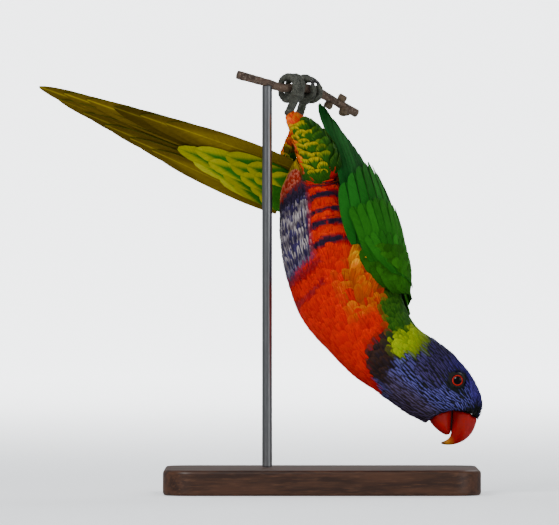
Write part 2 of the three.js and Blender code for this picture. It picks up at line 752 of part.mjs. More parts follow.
function addPart(name, solid, finish) {
  const [color, roughness, metalness] = FINISH[finish];
  const mesh = new THREE.Mesh(
    toGeometry(solid), new THREE.MeshStandardMaterial({ color, roughness, metalness }));
  mesh.name = name;
  lorikeet.add(mesh);
}

addPart('head', headSolid(), 'violet');
addPart('upper_bill', billHalf(UPPER_BILL, 9), 'bill');
addPart('lower_bill', billHalf(LOWER_BILL, 6), 'bill');
for (const [name, { span, finish }] of Object.entries(TRUNK)) {
  addPart(name, bodyLength(span), finish);
}
for (const side of ['right', 'left']) {
  addPart(`eye_${side}`, eyeball(side), 'iris');
  addPart(`wing_${side}`, wingSolid(side), 'green');
  addPart(`thigh_${side}`, thighSolid(LEGS[side]).subtract(trunkGrown), 'green');
  addPart(`foot_${side}`, footSolid(LEGS[side]), 'foot');
}
addPart('tail', tailSolid(), 'olive');
addPart('perch', fuse([perchStem(), ...CAPSULES.map(capsule)]), 'bark');
addPart('stand_base', standBase(), 'wood');
addPart('stand_rod', standRod(), 'steel');

export default lorikeet;
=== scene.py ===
"""A rainbow lorikeet, life size, hanging head down from a short branch on a display stand.

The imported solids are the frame. One skin stands in for the solids of the flesh, and lies inside them
by the depth of the coat. Feathers are thin closed plates, modelled once for each kind and copied over
the skin in rows, or laid in tiers over the guides of the wings and the tail. Sizes are in millimetres,
in the frame of the solids: the bird's right side faces -Y, its head points down and to +X.
"""

import logging
import math
from contextlib import contextmanager
from dataclasses import dataclass, fields, replace
from enum import Enum
from typing import ClassVar, Iterator, Sequence

import bpy
import numpy as np
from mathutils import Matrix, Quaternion, Vector
from mathutils.bvhtree import BVHTree
from mathutils.kdtree import KDTree


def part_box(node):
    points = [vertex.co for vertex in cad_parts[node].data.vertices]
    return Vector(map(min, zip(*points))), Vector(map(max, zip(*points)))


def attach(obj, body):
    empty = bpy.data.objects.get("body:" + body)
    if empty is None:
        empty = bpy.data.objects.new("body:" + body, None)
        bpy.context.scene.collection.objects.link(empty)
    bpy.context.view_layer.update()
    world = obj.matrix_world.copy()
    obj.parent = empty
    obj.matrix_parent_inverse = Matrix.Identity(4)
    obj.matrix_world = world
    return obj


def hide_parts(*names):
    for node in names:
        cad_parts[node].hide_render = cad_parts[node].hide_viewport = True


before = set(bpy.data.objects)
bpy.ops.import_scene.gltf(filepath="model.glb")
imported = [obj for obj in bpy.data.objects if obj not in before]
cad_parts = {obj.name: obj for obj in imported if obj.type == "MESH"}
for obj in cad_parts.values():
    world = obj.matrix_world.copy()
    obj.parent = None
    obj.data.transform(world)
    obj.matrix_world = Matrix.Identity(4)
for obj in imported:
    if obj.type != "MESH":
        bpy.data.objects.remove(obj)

LOG = logging.getLogger("lorikeet")
MM = 0.001
BODY = "root"
HEAD_Y = -20.0
EYE_X, EYE_Z = 64.1, 54.1
Seen = tuple[int, int, int]
Spot = tuple[float, float, float]
Pair = tuple[float, float]
Array = np.ndarray
Piece = bpy.types.Object
Material = bpy.types.Material


def colour(red: int, green: int, blue: int) -> Spot:
    """Turns a colour as seen on a screen, 0 to 255, into linear light, 0 to 1."""
    shares = [value / 255 for value in (red, green, blue)]
    return tuple(v / 12.92 if v <= 0.04045 else ((v + 0.055) / 1.055) ** 2.4 for v in shares)


def smooth(values: Array, start: float | Array, end: float | Array) -> Array:
    """Grades values by a smooth rise from 0 at start to 1 at end."""
    share = np.clip((values - start) / (end - start), 0, 1)
    return share * share * (3 - 2 * share)


def unit(vectors: Array) -> Array:
    """Scales each vector to a length of 1."""
    return vectors / np.maximum(np.linalg.norm(vectors, axis=-1, keepdims=True), 1e-9)


def scatter(points: Array) -> Array:
    """Draws a number from 0 to 1 for each place, the same each time."""
    mixed = np.sin(points @ np.array([12.9, 78.2, 37.7])) * 43758.5
    return mixed - np.floor(mixed)


class Side(Enum):
    """The bird's own sides, with the sign of Y that each faces."""

    RIGHT = -1
    LEFT = 1

    @property
    def tag(self) -> str:
        """The side's name in the names of pieces."""
        return self.name.lower()


# Smooth routes and the shapes that the feathers lie on


@dataclass(frozen=True)
class Route:
    """A smooth route through evenly numbered stops, which may have any number of values each."""

    stops: Array

    def at(self, shares: Array | float) -> Array:
        """Finds the places at shares of the route.

        Args:
            shares: Shares of the route's stops, 0 to 1.

        Returns:
            The places, one row for each share.
        """
        stops = np.asarray(self.stops, float)
        last = len(stops) - 1
        place = np.clip(np.asarray(shares, float), 0, 1) * last
        index = np.minimum(place.astype(int), last - 1)
        part = (place - index)[..., None]
        padded = np.vstack([2 * stops[0] - stops[1], stops, 2 * stops[-1] - stops[-2]])
        before, start, end, after = (padded[index + step] for step in range(4))
        leave, arrive = (end - before) / 2, (after - start) / 2
        cubic = (2 * start - 2 * end + leave + arrive) * part**3
        return cubic + (3 * end - 3 * start - 2 * leave - arrive) * part**2 + leave * part + start

    def along(self, shares: Array | float) -> Array:
        """Finds the unit directions of travel at shares of the route.

        Args:
            shares: Shares of the route's length, 0 to 1.

        Returns:
            The directions, one row each.
        """
        shares = np.asarray(shares, float)
        ahead = self.at(np.minimum(shares + 0.004, 1))
        return unit(ahead - self.at(np.maximum(shares - 0.004, 0)))


@dataclass(frozen=True)
class Section:
    """A section of the body: the points of back and belly seen from the side, and its shape."""

    back: Pair
    belly: Pair
    y: float
    width: float
    roll: float


def rolled(up: Array, along: Array, degrees: Array) -> tuple[Array, Array]:
    """Rolls directions about the way along a shape.

    Args:
        up: The direction to its back before the roll.
        along: The way along it.
        degrees: How far the back rolls away from the viewer.

    Returns:
        The directions to the back and to the bird's right.
    """
    near = unit(np.cross(up, along))
    roll = np.radians(degrees)[..., None]
    return up * np.cos(roll) - near * np.sin(roll), near * np.cos(roll) + up * np.sin(roll)


class BodyShape:
    """The lofted form of head and body, which gives every point of the coat its place on the bird."""

    SECTIONS = {
        "lips": Section((74.0, 35.2), (52.0, 31.6), -20, 7.6, 0),
        "face": Section((75.6, 39.6), (51.0, 33.4), -20, 9.6, 0),
        "forehead": Section((76.2, 44.4), (49.2, 33.8), -20, 11.4, 0),
        "eye": Section((73.8, 51.6), (45.6, 35.4), -20, 13.0, 0),
        "crown": Section((69.2, 59.0), (41.0, 37.6), -20, 14.2, 0),
        "nape": Section((61.8, 67.4), (34.0, 42.4), -20, 15.4, 2),
        "neck": Section((53.4, 73.6), (26.4, 48.0), -19.8, 16.8, 5),
        "shoulder": Section((44.6, 80.2), (15.2, 55.4), -18.0, 19.5, 12),
        "breast": Section((39.0, 91.6), (1.6, 69.4), -12.6, 23.0, 20),
        "keel": Section((35.4, 105.4), (-10.2, 83.4), -5.4, 25.2, 27),
        "belly": Section((31.4, 119.8), (-17.2, 103.2), 1.8, 25.4, 32),
        "flank": Section((26.2, 132.8), (-20.0, 120.4), 9.2, 23.6, 37),
        "vent": Section((17.4, 145.6), (-20.0, 136.0), 16.6, 19.6, 42),
        "rump": Section((5.0, 157.6), (-18.4, 144.4), 22.0, 15.0, 45),
        "root": Section((-6.5, 162.0), (-15.0, 149.0), 25.0, 10.0, 45),
    }

    def __init__(self) -> None:
        """Lays the routes of back, belly and shape through the sections."""
        sections = list(self.SECTIONS.values())
        self.back = Route(np.array([(one.back[0], one.y, one.back[1]) for one in sections]))
        self.belly = Route(np.array([(one.belly[0], one.y, one.belly[1]) for one in sections]))
        self.shape = Route(np.array([(one.width, one.roll) for one in sections]))
        self.middle = Route((self.back.stops + self.belly.stops) / 2)

    def axes(self, shares: Array) -> tuple[Array, ...]:
        """Finds the body's own directions at shares of its length.

        Args:
            shares: Shares of the body's length, 0 at the bill and 1 at the tail.

        Returns:
            The middle, the directions along, to the back and to the bird's right, the half depth
            and the half width.
        """
        back, belly, shape = self.back.at(shares), self.belly.at(shares), self.shape.at(shares)
        along = self.middle.along(shares)
        depth = np.linalg.norm(back - belly, axis=-1) / 2
        dorsal, right = rolled(unit(back - belly), along, shape[..., 1])
        return (back + belly) / 2, along, dorsal, right, depth, shape[..., 0]

    def surface(self, shares: Array, turns: Array) -> Array:
        """Finds points of the body's surface.

        Args:
            shares: Shares of the body's length.
            turns: Degrees round it from the belly line towards the bird's right.

        Returns:
            The points, one row for each share.
        """
        middle, _, dorsal, right, depth, width = self.axes(shares)
        angle = np.radians(turns)
        back = dorsal * (np.cos(angle) * depth)[..., None]
        return middle - back + right * (np.sin(angle) * width)[..., None]

    def locate(self, points: Array) -> tuple[Array, Array]:
        """Finds where points lie on the body.

        Args:
            points: Points near the body's surface.

        Returns:
            The share of the body's length and the degrees from the belly line of each, -180 to 180.
        """
        stops = np.linspace(0, 1, 241)
        middles, along = self.middle.at(stops), self.middle.along(stops)
        away = points[:, None, :] - middles[None]
        level = np.abs(np.einsum("psk,sk->ps", away, along))
        nearest = np.argmin(np.linalg.norm(away, axis=-1) * 0.35 + level, axis=1)
        middle, _, dorsal, right, _, _ = self.axes(stops[nearest])
        offset = points - middle
        side = np.einsum("pk,pk->p", offset, right)
        return stops[nearest], np.degrees(np.arctan2(side, -np.einsum("pk,pk->p", offset, dorsal)))


class WingShape:
    """The guide surface of one folded wing, over the back and side and on past the rump.

    Each guide is a middle, and the depth to the back, the depth to the side and the roll round it. The
    far wing keeps only FAR_SPREAD of its degrees below the top edge.
    """

    TOP_EDGE = 84.0
    FAR_SPREAD = 0.68

    GUIDES = (
        ((22.0, -14.0, 83.0), (20.5, 20.5, 17.0)),
        ((14.0, -5.0, 100.0), (24.5, 25.0, 26.0)),
        ((8.8, 4.5, 119.0), (26.0, 26.0, 32.0)),
        ((4.6, 13.0, 136.0), (24.5, 24.0, 37.0)),
        ((1.4, 20.5, 150.0), (22.0, 20.0, 42.0)),
        ((-1.6, 28.0, 164.0), (19.0, 15.0, 45.0)),
        ((-4.8, 36.0, 180.0), (16.5, 9.5, 45.0)),
        ((-8.0, 44.0, 196.0), (14.5, 7.0, 45.0)),
    )

    def __init__(self, side: Side) -> None:
        """Lays the guide for one side.

        Args:
            side: The side of the bird. The far, left wing is held higher, clear of the leg.
        """
        self.side = side
        self.spread = 1.0 if side is Side.RIGHT else self.FAR_SPREAD
        self.middle = Route(np.array([middle for middle, _ in self.GUIDES]))
        self.shape = Route(np.array([shape for _, shape in self.GUIDES]))

    def place(self, shares: Array, turns: Array, height: Array) -> Array:
        """Finds places over the guide.

        Args:
            shares: Shares of the guide's length.
            turns: Degrees round it from the side towards the back.
            height: Distance out from the guide.

        Returns:
            The places, one row for each share.
        """
        along = self.middle.along(shares)
        shape = self.shape.at(shares)
        up = unit(np.cross(np.array([0.0, 1.0, 0.0]), along))
        back, right = rolled(up, along, shape[..., 2])
        angle = np.radians(self.TOP_EDGE - (self.TOP_EDGE - turns) * self.spread)
        outward = -self.side.value * np.cos(angle) * (shape[..., 1] + height)
        rise = np.sin(angle) * (shape[..., 0] + height)
        return self.middle.at(shares) + back * rise[..., None] + right * outward[..., None]

    def turn(self, shares: Array, across: Array) -> Array:
        """Gives the degrees round the guide for distances across it.

        Args:
            shares: Shares of the wing's length.
            across: Distances across the wing there.

        Returns:
            The degrees that they take up.
        """
        shape = self.shape.at(shares)
        reach = (shape[..., 0] + shape[..., 1]) / 2 * self.spread
        return np.degrees(across / reach)


class TailShape:
    """The flat guide of the tail: its root, its tip and which way it spreads."""

    ROOT = np.array([-14.0, 25.0, 148.5])
    TIP = np.array([-135.0, 0.0, 192.0])
    ACROSS = np.array([-0.3, 0.6, -0.74])
    SWAY = 4.6

    def __init__(self) -> None:
        """Squares the tail's directions to each other."""
        self.length = float(np.linalg.norm(self.TIP - self.ROOT))
        self.axis = (self.TIP - self.ROOT) / self.length
        self.left = unit(self.ACROSS - self.axis * (self.ACROSS @ self.axis))
        self.back = np.cross(self.left, self.axis)

    def place(self, along: Array, left: Array, back: Array) -> Array:
        """Finds places on the tail.

        Args:
            along: Distance from the root.
            left: Distance towards the bird's left.
            back: Distance towards the bird's back.

        Returns:
            The places, one row for each distance.
        """
        sway = self.SWAY * (1 - along / self.length) ** 2
        place = self.ROOT + self.axis * along[..., None]
        return place + self.left * (left + sway)[..., None] + self.back * back[..., None]


@dataclass(frozen=True)
class Leg:
    """A leg: the route of its feathered thigh, how thick that is, and its grip on the branch."""

    side: Side
    route: Route
    thick: float
    palm: Spot
    hold: float
    front: Spot
    taper: float
    ankle: float = 2.9

    def radius(self, shares: Array) -> Array:
        """Gives the thigh's radius at shares of its length."""
        return self.thick + (self.ankle - self.thick) * shares**self.taper


LEGS = (
    Leg(
        Side.RIGHT,
        Route(np.array([(1.4, 11, 146), (-1, -1.5, 158), (-5.6, -6.2, 168.6), (-15.8, -8, 180.5)])),
        11.3, (-17.4, -2.6, 189.4), 0.385, (-0.9, -0.1, -0.4), 2.4
    ),
    Leg(
        Side.LEFT,
        Route(np.array([(-9, 29, 134), (-17.5, 40, 142.5), (-16.8, 41.4, 156), (-12.5, 34, 174)])),
        6.6, (-7.4, 18.6, 189.0), 0.56, (-0.95, 0.0, 0.3), 1.2
    ),
)


# Modelling


class Bench:
    """The modelling steps that several pieces share."""

    @staticmethod
    def clear() -> None:
        """Deselects everything, in object mode."""
        if bpy.context.object and bpy.context.object.mode != "OBJECT":
            bpy.ops.object.mode_set(mode="OBJECT")
        bpy.ops.object.select_all(action="DESELECT")

    @classmethod
    def only(cls, piece: Piece) -> Piece:
        """Selects one piece alone and makes it active.

        Args:
            piece: The piece.

        Returns:
            The same piece.
        """
        cls.clear()
        piece.select_set(True)
        bpy.context.view_layer.objects.active = piece
        return piece

    @classmethod
    @contextmanager
    def edit(cls, piece: Piece) -> Iterator[None]:
        """Opens a piece in edit mode with all of it selected, and closes it again.

        Args:
            piece: The piece.
        """
        cls.only(piece)
        bpy.ops.object.mode_set(mode="EDIT")
        bpy.ops.mesh.select_all(action="SELECT")
        yield
        bpy.ops.object.mode_set(mode="OBJECT")

    @staticmethod
    def made(name: str) -> Piece:
        """Names the piece that was added last."""
        bpy.context.object.name = name
        return bpy.context.object

    @staticmethod
    def adopt(name: str, data: bpy.types.ID) -> Piece:
        """Makes an object of a mesh, curve, light or camera, in the scene.

        Args:
            name: The object's name.
            data: What it shows.

        Returns:
            The object.
        """
        piece = bpy.data.objects.new(name, data)
        bpy.context.scene.collection.objects.link(piece)
        return piece

    @staticmethod
    def points(piece: Piece) -> Array:
        """Reads a piece's points, one row each."""
        return np.array([vertex.co for vertex in piece.data.vertices])

    @staticmethod
    def tint(mesh: bpy.types.Mesh, name: str, tints: Array) -> None:
        """Gives each point of a mesh a colour.

        Args:
            mesh: The mesh.
            name: The colours' name.
            tints: A colour for each point.
        """
        full = np.column_stack([tints, np.ones(len(tints))])
        layer = mesh.attributes.new(name, "FLOAT_COLOR", "POINT")
        layer.data.foreach_set("color", full.astype(np.float32).ravel())

    @classmethod
    def modify(cls, piece: Piece, kind: str, **settings: object) -> None:
        """Adds a modifier and applies it.

        Args:
            piece: The piece to change.
            kind: The modifier's type.
            settings: Its settings by name.
        """
        cls.only(piece)
        modifier = piece.modifiers.new(kind.lower(), kind)
        for name, value in settings.items():
            setattr(modifier, name, value)
        bpy.ops.object.modifier_apply(modifier=modifier.name)

    @classmethod
    def roughen(
        cls, piece: Piece, kind: str, grain: float, depth: float, level: float, octaves: int = 0
    ) -> None:
        """Presses the relief of a noise into a piece.

        Args:
            piece: The piece to change.
            kind: The noise's type.
            grain: The size of its features, in millimetres.
            depth: The depth of the relief, in millimetres.
            level: The height of the noise that moves nothing.
            octaves: The finer layers of the noise, where there are more than usual.
        """
        noise = bpy.data.textures.new("relief", kind)
        noise.noise_scale = grain * MM
        if octaves:
            noise.noise_depth = octaves
        cls.modify(piece, "DISPLACE", texture=noise, strength=depth * MM, mid_level=level)

    @classmethod
    def join(cls, pieces: Sequence[Piece], name: str) -> Piece:
        """Joins pieces into one.

        Args:
            pieces: The pieces, each with its own mesh.
            name: The joined piece's name.

        Returns:
            The joined piece.
        """
        cls.only(pieces[0])
        for piece in pieces:
            piece.select_set(True)
        bpy.ops.object.join()
        pieces[0].name = name
        return pieces[0]

    @classmethod
    def settle(cls, piece: Piece, angle: float = 40.0) -> Piece:
        """Puts a piece's place into its mesh and shades it smooth below an angle.

        Args:
            piece: The piece to finish.
            angle: The sharpest angle that is shaded smooth, in degrees.

        Returns:
            The same piece.
        """
        cls.only(piece)
        bpy.ops.object.transform_apply(location=True, rotation=True, scale=True)
        bpy.ops.object.shade_smooth_by_angle(angle=math.radians(angle))
        return piece

    @classmethod
    def node_copy(cls, node: str) -> Piece:
        """Copies a node of the frame, with its loose triangles merged.

        Args:
            node: The node's name.

        Returns:
            The copy.
        """
        piece = cls.adopt(f"{node}_copy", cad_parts[node].data.copy())
        with cls.edit(piece):
            bpy.ops.mesh.remove_doubles(threshold=0.01 * MM)
        piece.data.materials.clear()
        return piece

    @classmethod
    def pick(cls, piece: Piece, chosen: Array) -> None:
        """Selects some of a piece's points alone, and stays in edit mode.

        Args:
            piece: The piece.
            chosen: Which of its points are wanted.
        """
        with cls.edit(piece):
            bpy.ops.mesh.select_mode(type="VERT")
            bpy.ops.mesh.select_all(action="DESELECT")
        piece.data.vertices.foreach_set("select", chosen)
        bpy.ops.object.mode_set(mode="EDIT")

    @classmethod
    def face_out(cls, piece: Piece, merge: float = 0.0) -> Piece:
        """Turns the faces of closed shells outwards.

        Args:
            piece: The piece to change.
            merge: Points nearer than this, in millimetres, are merged first.

        Returns:
            The same piece.
        """
        with cls.edit(piece):
            if merge:
                bpy.ops.mesh.remove_doubles(threshold=merge * MM)
            bpy.ops.mesh.normals_make_consistent(inside=False)
        return piece

    @classmethod
    def turned(cls, name: str, profile: Sequence[Pair], sides: int) -> Piece:
        """Extrudes a disc ring by ring into a turned shape about the Z axis.

        Args:
            name: The piece's name.
            profile: The radius and height of each ring, from the first disc to the last.
            sides: Sides of the rings.

        Returns:
            The closed piece.
        """
        cls.clear()
        radius, height = profile[0]
        bpy.ops.mesh.primitive_circle_add(vertices=sides, radius=radius * MM, fill_type="NGON")
        piece = cls.made(name)
        with cls.edit(piece):
            bpy.ops.transform.translate(value=(0, 0, height * MM))
            for wider, higher in profile[1:]:
                rise = {"value": (0, 0, (higher - height) * MM)}
                bpy.ops.mesh.extrude_region_move(TRANSFORM_OT_translate=rise)
                share = wider / radius
                bpy.ops.transform.resize(value=(share, share, 1), center_override=(0, 0, 0))
                radius, height = wider, higher
        return cls.face_out(piece)

    @classmethod
    def tube(cls, name: str, path: Array, radii: Array, roundness: int = 4) -> Piece:
        """Makes a closed tube along a path, with a radius at each point.

        Args:
            name: The piece's name.
            path: The middle line's points.
            radii: The radius at each point.
            roundness: Faces in a quarter of the section, roughly.

        Returns:
            The tube as a mesh piece.
        """
        curve = bpy.data.curves.new(name, "CURVE")
        curve.dimensions = "3D"
        curve.bevel_depth = MM
        curve.bevel_resolution = roundness
        curve.use_fill_caps = True
        spline = curve.splines.new("POLY")
        spline.points.add(len(path) - 1)
        spline.points.foreach_set("co", np.column_stack([path * MM, np.ones(len(path))]).ravel())
        spline.points.foreach_set("radius", np.asarray(radii, float))
        cls.only(cls.adopt(name, curve))
        bpy.ops.object.convert(target="MESH")
        return cls.face_out(bpy.context.object, 0.005)


def node_tree(node: str) -> BVHTree:
    """Reads a node of the frame for the distances to it.

    Args:
        node: The node's name.

    Returns:
        A search tree of its faces.
    """
    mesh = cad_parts[node].data
    points = [(vertex.co / MM)[:] for vertex in mesh.vertices]
    return BVHTree.FromPolygons(points, [tuple(face.vertices) for face in mesh.polygons])


def wear(piece: Piece, material: Material, slot: str, *nodes: str) -> None:
    """Dresses a finished piece and fixes it to the frame.

    Args:
        piece: The finished piece.
        material: Its material.
        slot: The slot that the finish belongs to; not used.
        nodes: The nodes of the frame that the piece stands for.
    """
    piece.data.materials.clear()
    piece.data.materials.append(material)
    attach(piece, BODY)
    if nodes:
        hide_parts(*nodes)
    LOG.info("%s: %d faces", piece.name, len(piece.data.polygons))


# Finishes


class Value:
    """A socket's value, on which Python's arithmetic adds Math nodes."""

    def __init__(self, shader: "Shader", socket: bpy.types.NodeSocket) -> None:
        """Wraps one output socket."""
        self.shader = shader
        self.socket = socket

    def maths(self, operation: str, *inputs: "Value | float") -> "Value":
        """Adds a Math node."""
        return self.shader.node("ShaderNodeMath", {"operation": operation}, *inputs)

    def __add__(self, other: "Value | float") -> "Value":
        """Adds."""
        return self.maths("ADD", self, other)

    __radd__ = __add__

    def __sub__(self, other: "Value | float") -> "Value":
        """Subtracts."""
        return self.maths("SUBTRACT", self, other)

    def __rsub__(self, other: "Value | float") -> "Value":
        """Subtracts from a number."""
        return self.maths("SUBTRACT", other, self)

    def __mul__(self, other: "Value | float") -> "Value":
        """Multiplies."""
        return self.maths("MULTIPLY", self, other)

    __rmul__ = __mul__

    def __abs__(self) -> "Value":
        """Drops the sign."""
        return self.maths("ABSOLUTE", self)

    def sine(self) -> "Value":
        """Takes the sine."""
        return self.maths("SINE", self)

    def rise(self, start: float, end: float) -> "Value":
        """Rises smoothly from 0 at start to 1 at end."""
        settings = {"interpolation_type": "SMOOTHSTEP"}
        return self.shader.node("ShaderNodeMapRange", settings, self, start, end, 0.0, 1.0)


class Shader:
    """One procedural material under construction."""

    def __init__(self, name: str) -> None:
        """Starts a material with only its shader and output.

        Args:
            name: The material's name.
        """
        self.material = bpy.data.materials.new(name)
        self.material.use_nodes = True
        self.tree = self.material.node_tree
        self.surface = self.tree.nodes["Principled BSDF"]

    def node(
        self, kind: str, settings: dict[str, object], *inputs: object, output: int | str = 0
    ) -> Value:
        """Adds a node.

        Args:
            kind: The node's type.
            settings: Its settings by name.
            inputs: Values or numbers for its sockets in order, with None to leave one alone.
            output: The output that is wanted.

        Returns:
            The wanted output.
        """
        node = self.tree.nodes.new(kind)
        for name, setting in settings.items():
            setattr(node, name, setting)
        for socket, value in zip(node.inputs, inputs):
            self.feed(socket, value)
        return Value(self, node.outputs[output])

    def feed(self, socket: bpy.types.NodeSocket, value: object) -> None:
        """Links a value to a socket, or sets a number or colour on it.

        Args:
            socket: The socket.
            value: The value, or None to leave the socket as it is.
        """
        if isinstance(value, Value):
            self.tree.links.new(value.socket, socket)
        elif value is not None:
            plain = isinstance(value, tuple) and socket.type == "RGBA" and len(value) == 3
            socket.default_value = (*value, 1) if plain else value

    def mix(self, share: Value | float, first: object, second: object) -> Value:
        """Mixes two colours by a share.

        Args:
            share: How much of the second colour.
            first: The first colour.
            second: The second colour.

        Returns:
            The mixed colour.
        """
        node = self.tree.nodes.new("ShaderNodeMix")
        node.data_type = "RGBA"
        for index, value in ((0, share), (6, first), (7, second)):
            self.feed(node.inputs[index], value)
        return Value(self, node.outputs[2])

    def shade(self, tint: Value, amount: Value | float) -> Value:
        """Multiplies a colour by an amount of light."""
        return self.node("ShaderNodeVectorMath", {"operation": "SCALE"}, tint, None, None, amount)

    def attribute(self, name: str, output: str = "Color") -> Value:
        """Reads an attribute of the mesh."""
        return self.node("ShaderNodeAttribute", {"attribute_name": name}, output=output)

    def split(self, vector: Value) -> tuple[Value, ...]:
        """Splits a vector into its three parts."""
        parts = self.node("ShaderNodeSeparateXYZ", {}, vector).socket.node
        return tuple(Value(self, output) for output in parts.outputs)

    def on_feather(self) -> tuple[Value, Value]:
        """Reads a feather's own map: how far aside of the shaft, 0 to 1, and the share along it."""
        across, along, _ = self.split(self.node("ShaderNodeUVMap", {"uv_map": Coat.VANE_MAP}))
        return abs(across - 0.5) * 2, along

    def place(self, stretch: Spot = (1, 1, 1)) -> Value:
        """Reads the place on the piece, in metres, stretched along each axis."""
        place = self.node("ShaderNodeTexCoord", {}, output="Object")
        return self.node("ShaderNodeMapping", {}, place, None, None, stretch)

    def noise(self, place: Value, scale: float, detail: float = 4.0, rough: float = 0.55) -> Value:
        """Adds cloudy noise, 0 to 1, with scale in features per metre."""
        return self.node("ShaderNodeTexNoise", {}, place, None, scale, detail, rough)

    def bump(self, height: Value, depth: float, strength: float = 1.0) -> None:
        """Bumps the surface by a height of 0 to 1, with its depth in millimetres and its strength."""
        relief = self.node("ShaderNodeBump", {}, strength, depth * MM, None, height)
        self.set("Normal", relief)

    def set(self, name: str, value: object) -> None:
        """Sets or links one socket of the surface."""
        self.feed(self.surface.inputs[name], value)


@dataclass(frozen=True)
class Plumage:
    """The finish of feathers, whose colours the mesh carries as attributes.

    The rim is where the share along the feather and the share aside of its shaft, each times its
    gain, add up to more than rim_start. The barbs run forward from the shaft as strands.
    """

    name: str
    gains: Pair = (1.0, 0.16)
    rim_start: float = 0.74
    rim_blur: float = 0.24
    shaft_width: float = 0.16
    shaft_fade: Pair = (1.0, 0.82)
    barbs: Pair = (3.0, 4.5)
    streaks: float = 2.5
    root_shade: float = 0.3
    fray: float = 0.5
    uneven: float = 0.26
    roughness: float = 0.62
    relief: float = 0.06
    gloss: float = 0.03

    def material(self) -> Material:
        """Makes the material.

        Returns:
            The material.
        """
        shader = Shader(self.name)
        aside, along = shader.on_feather()
        rim_share, shaft_share, draw = shader.split(shader.attribute(Coat.MARKS, "Vector"))
        cloud = shader.noise(shader.place(), 500, 2.0)
        barb = along * self.barbs[0] - aside * self.barbs[1]
        strand = shader.noise(shader.node("ShaderNodeCombineXYZ", {}, barb, draw * 60, 0.0), 1.3, 4.0, 0.7)
        reach = along * self.gains[0] + aside * self.gains[1] + (strand - 0.5) * self.fray
        edge = reach.rise(self.rim_start, self.rim_start + self.rim_blur) * rim_share
        tint = shader.mix(edge, shader.attribute(Coat.GROUND), shader.attribute(Coat.RIM))
        shaft = 1 - aside.rise(self.shaft_width * 0.5, self.shaft_width * 1.6)
        shaft = shaft * along.rise(*self.shaft_fade) * shaft_share
        tint = shader.mix(shaft, tint, shader.attribute(Coat.SHAFT))
        lines = (barb * 2 * math.tau).sine()
        light = 1 - self.root_shade * along.rise(0.62, 0.02)
        light = light * (1 + (strand - 0.5) * self.streaks + lines * 0.05 + (draw - 0.5) * self.uneven)
        light = light * (1 + (cloud - 0.5) * 0.3)
        shader.set("Base Color", shader.shade(tint, light))
        shader.set("Roughness", self.roughness + (strand - 0.5) * 0.3)
        shader.set("Specular IOR Level", self.gloss)
        shader.bump(lines * 0.2 + strand * 0.6 + shaft, self.relief)
        return shader.material


@dataclass(frozen=True)
class Hide:
    """The finish of the skin below the coat: the coat's own colours darkened as painted shade, for the
    shade under and between the feathers.
    """

    name: str

    def material(self) -> Material:
        """Makes the material.

        Returns:
            The material.
        """
        shader = Shader(self.name)
        place = shader.place()
        cloud = shader.noise(place, 420, 4.0)
        pores = shader.node("ShaderNodeTexVoronoi", {}, place, None, 1300.0)
        # Painted shade: the coat's colours darkened to between a quarter and three quarters, in random
        # clouds.
        tint = shader.shade(shader.attribute(Coat.GROUND), 0.25 + cloud * 0.5)
        shader.set("Base Color", tint)
        shader.set("Roughness", 0.6 + cloud * 0.3)
        shader.bump(pores * 0.7 + cloud * 0.3, 0.1)
        return shader.material


@dataclass(frozen=True)
class Horn:
    """The finish of the bill: glossy horn, coloured from its base to its tip."""

    name: str
    tint: Seen
    tip: Seen
    dark: Seen
    hook: Spot
    reach: Pair

    def material(self) -> Material:
        """Makes the material.

        Returns:
            The material.
        """
        shader = Shader(self.name)
        place = shader.place()
        away = shader.node(
            "ShaderNodeVectorMath",
            {"operation": "DISTANCE"},
            place,
            tuple(value * MM for value in self.hook),
            output="Value",
        )
        cloud = shader.noise(place, 260, 5.0)
        growth = shader.noise(shader.place((1, 1, 6)), 420, 3.0)
        near = 1 - (away + (cloud - 0.5) * 0.0025).rise(self.reach[0] * MM, self.reach[1] * MM)
        tint = shader.mix(cloud.rise(0.35, 0.75) * 0.45, colour(*self.tint), colour(*self.dark))
        tint = shader.mix(near, tint, colour(*self.tip))
        point = 1 - away.rise(0.0006, 0.0022)
        tint = shader.mix(point * 0.75, tint, colour(60, 34, 14))
        shader.set("Base Color", shader.shade(tint, 0.86 + growth * 0.28))
        shader.set("Roughness", 0.26 + growth * 0.26)
        shader.set("Specular IOR Level", 0.2)
        shader.set("Coat Weight", 0.06)
        shader.set("Coat Roughness", 0.2)
        shader.bump(growth * 0.6 + cloud * 0.4, 0.06)
        return shader.material


@dataclass(frozen=True)
class Mottled:
    """A rough finish of two or three colours in clouds, with a fine relief."""

    name: str
    first: Seen
    second: Seen
    third: Seen
    scale: float
    stretch: Spot = (1, 1, 1)
    roughness: float = 0.75
    relief: float = 0.2
    spread: Pair = (0.4, 0.62)
    metallic: float = 0.0

    def material(self) -> Material:
        """Makes the material.

        Returns:
            The material.
        """
        shader = Shader(self.name)
        place = shader.place(self.stretch)
        broad = shader.noise(place, self.scale, 6.0, 0.62)
        fine = shader.noise(place, self.scale * 5, 4.0, 0.6)
        tint = shader.mix(broad.rise(*self.spread), colour(*self.first), colour(*self.second))
        tint = shader.mix(fine.rise(0.5, 0.72) * 0.7, tint, colour(*self.third))
        shader.set("Base Color", tint)
        shader.set("Roughness", self.roughness + (fine - 0.5) * 0.25)
        shader.set("Metallic", self.metallic)
        shader.bump(broad * 0.6 + fine * 0.4, self.relief)
        return shader.material


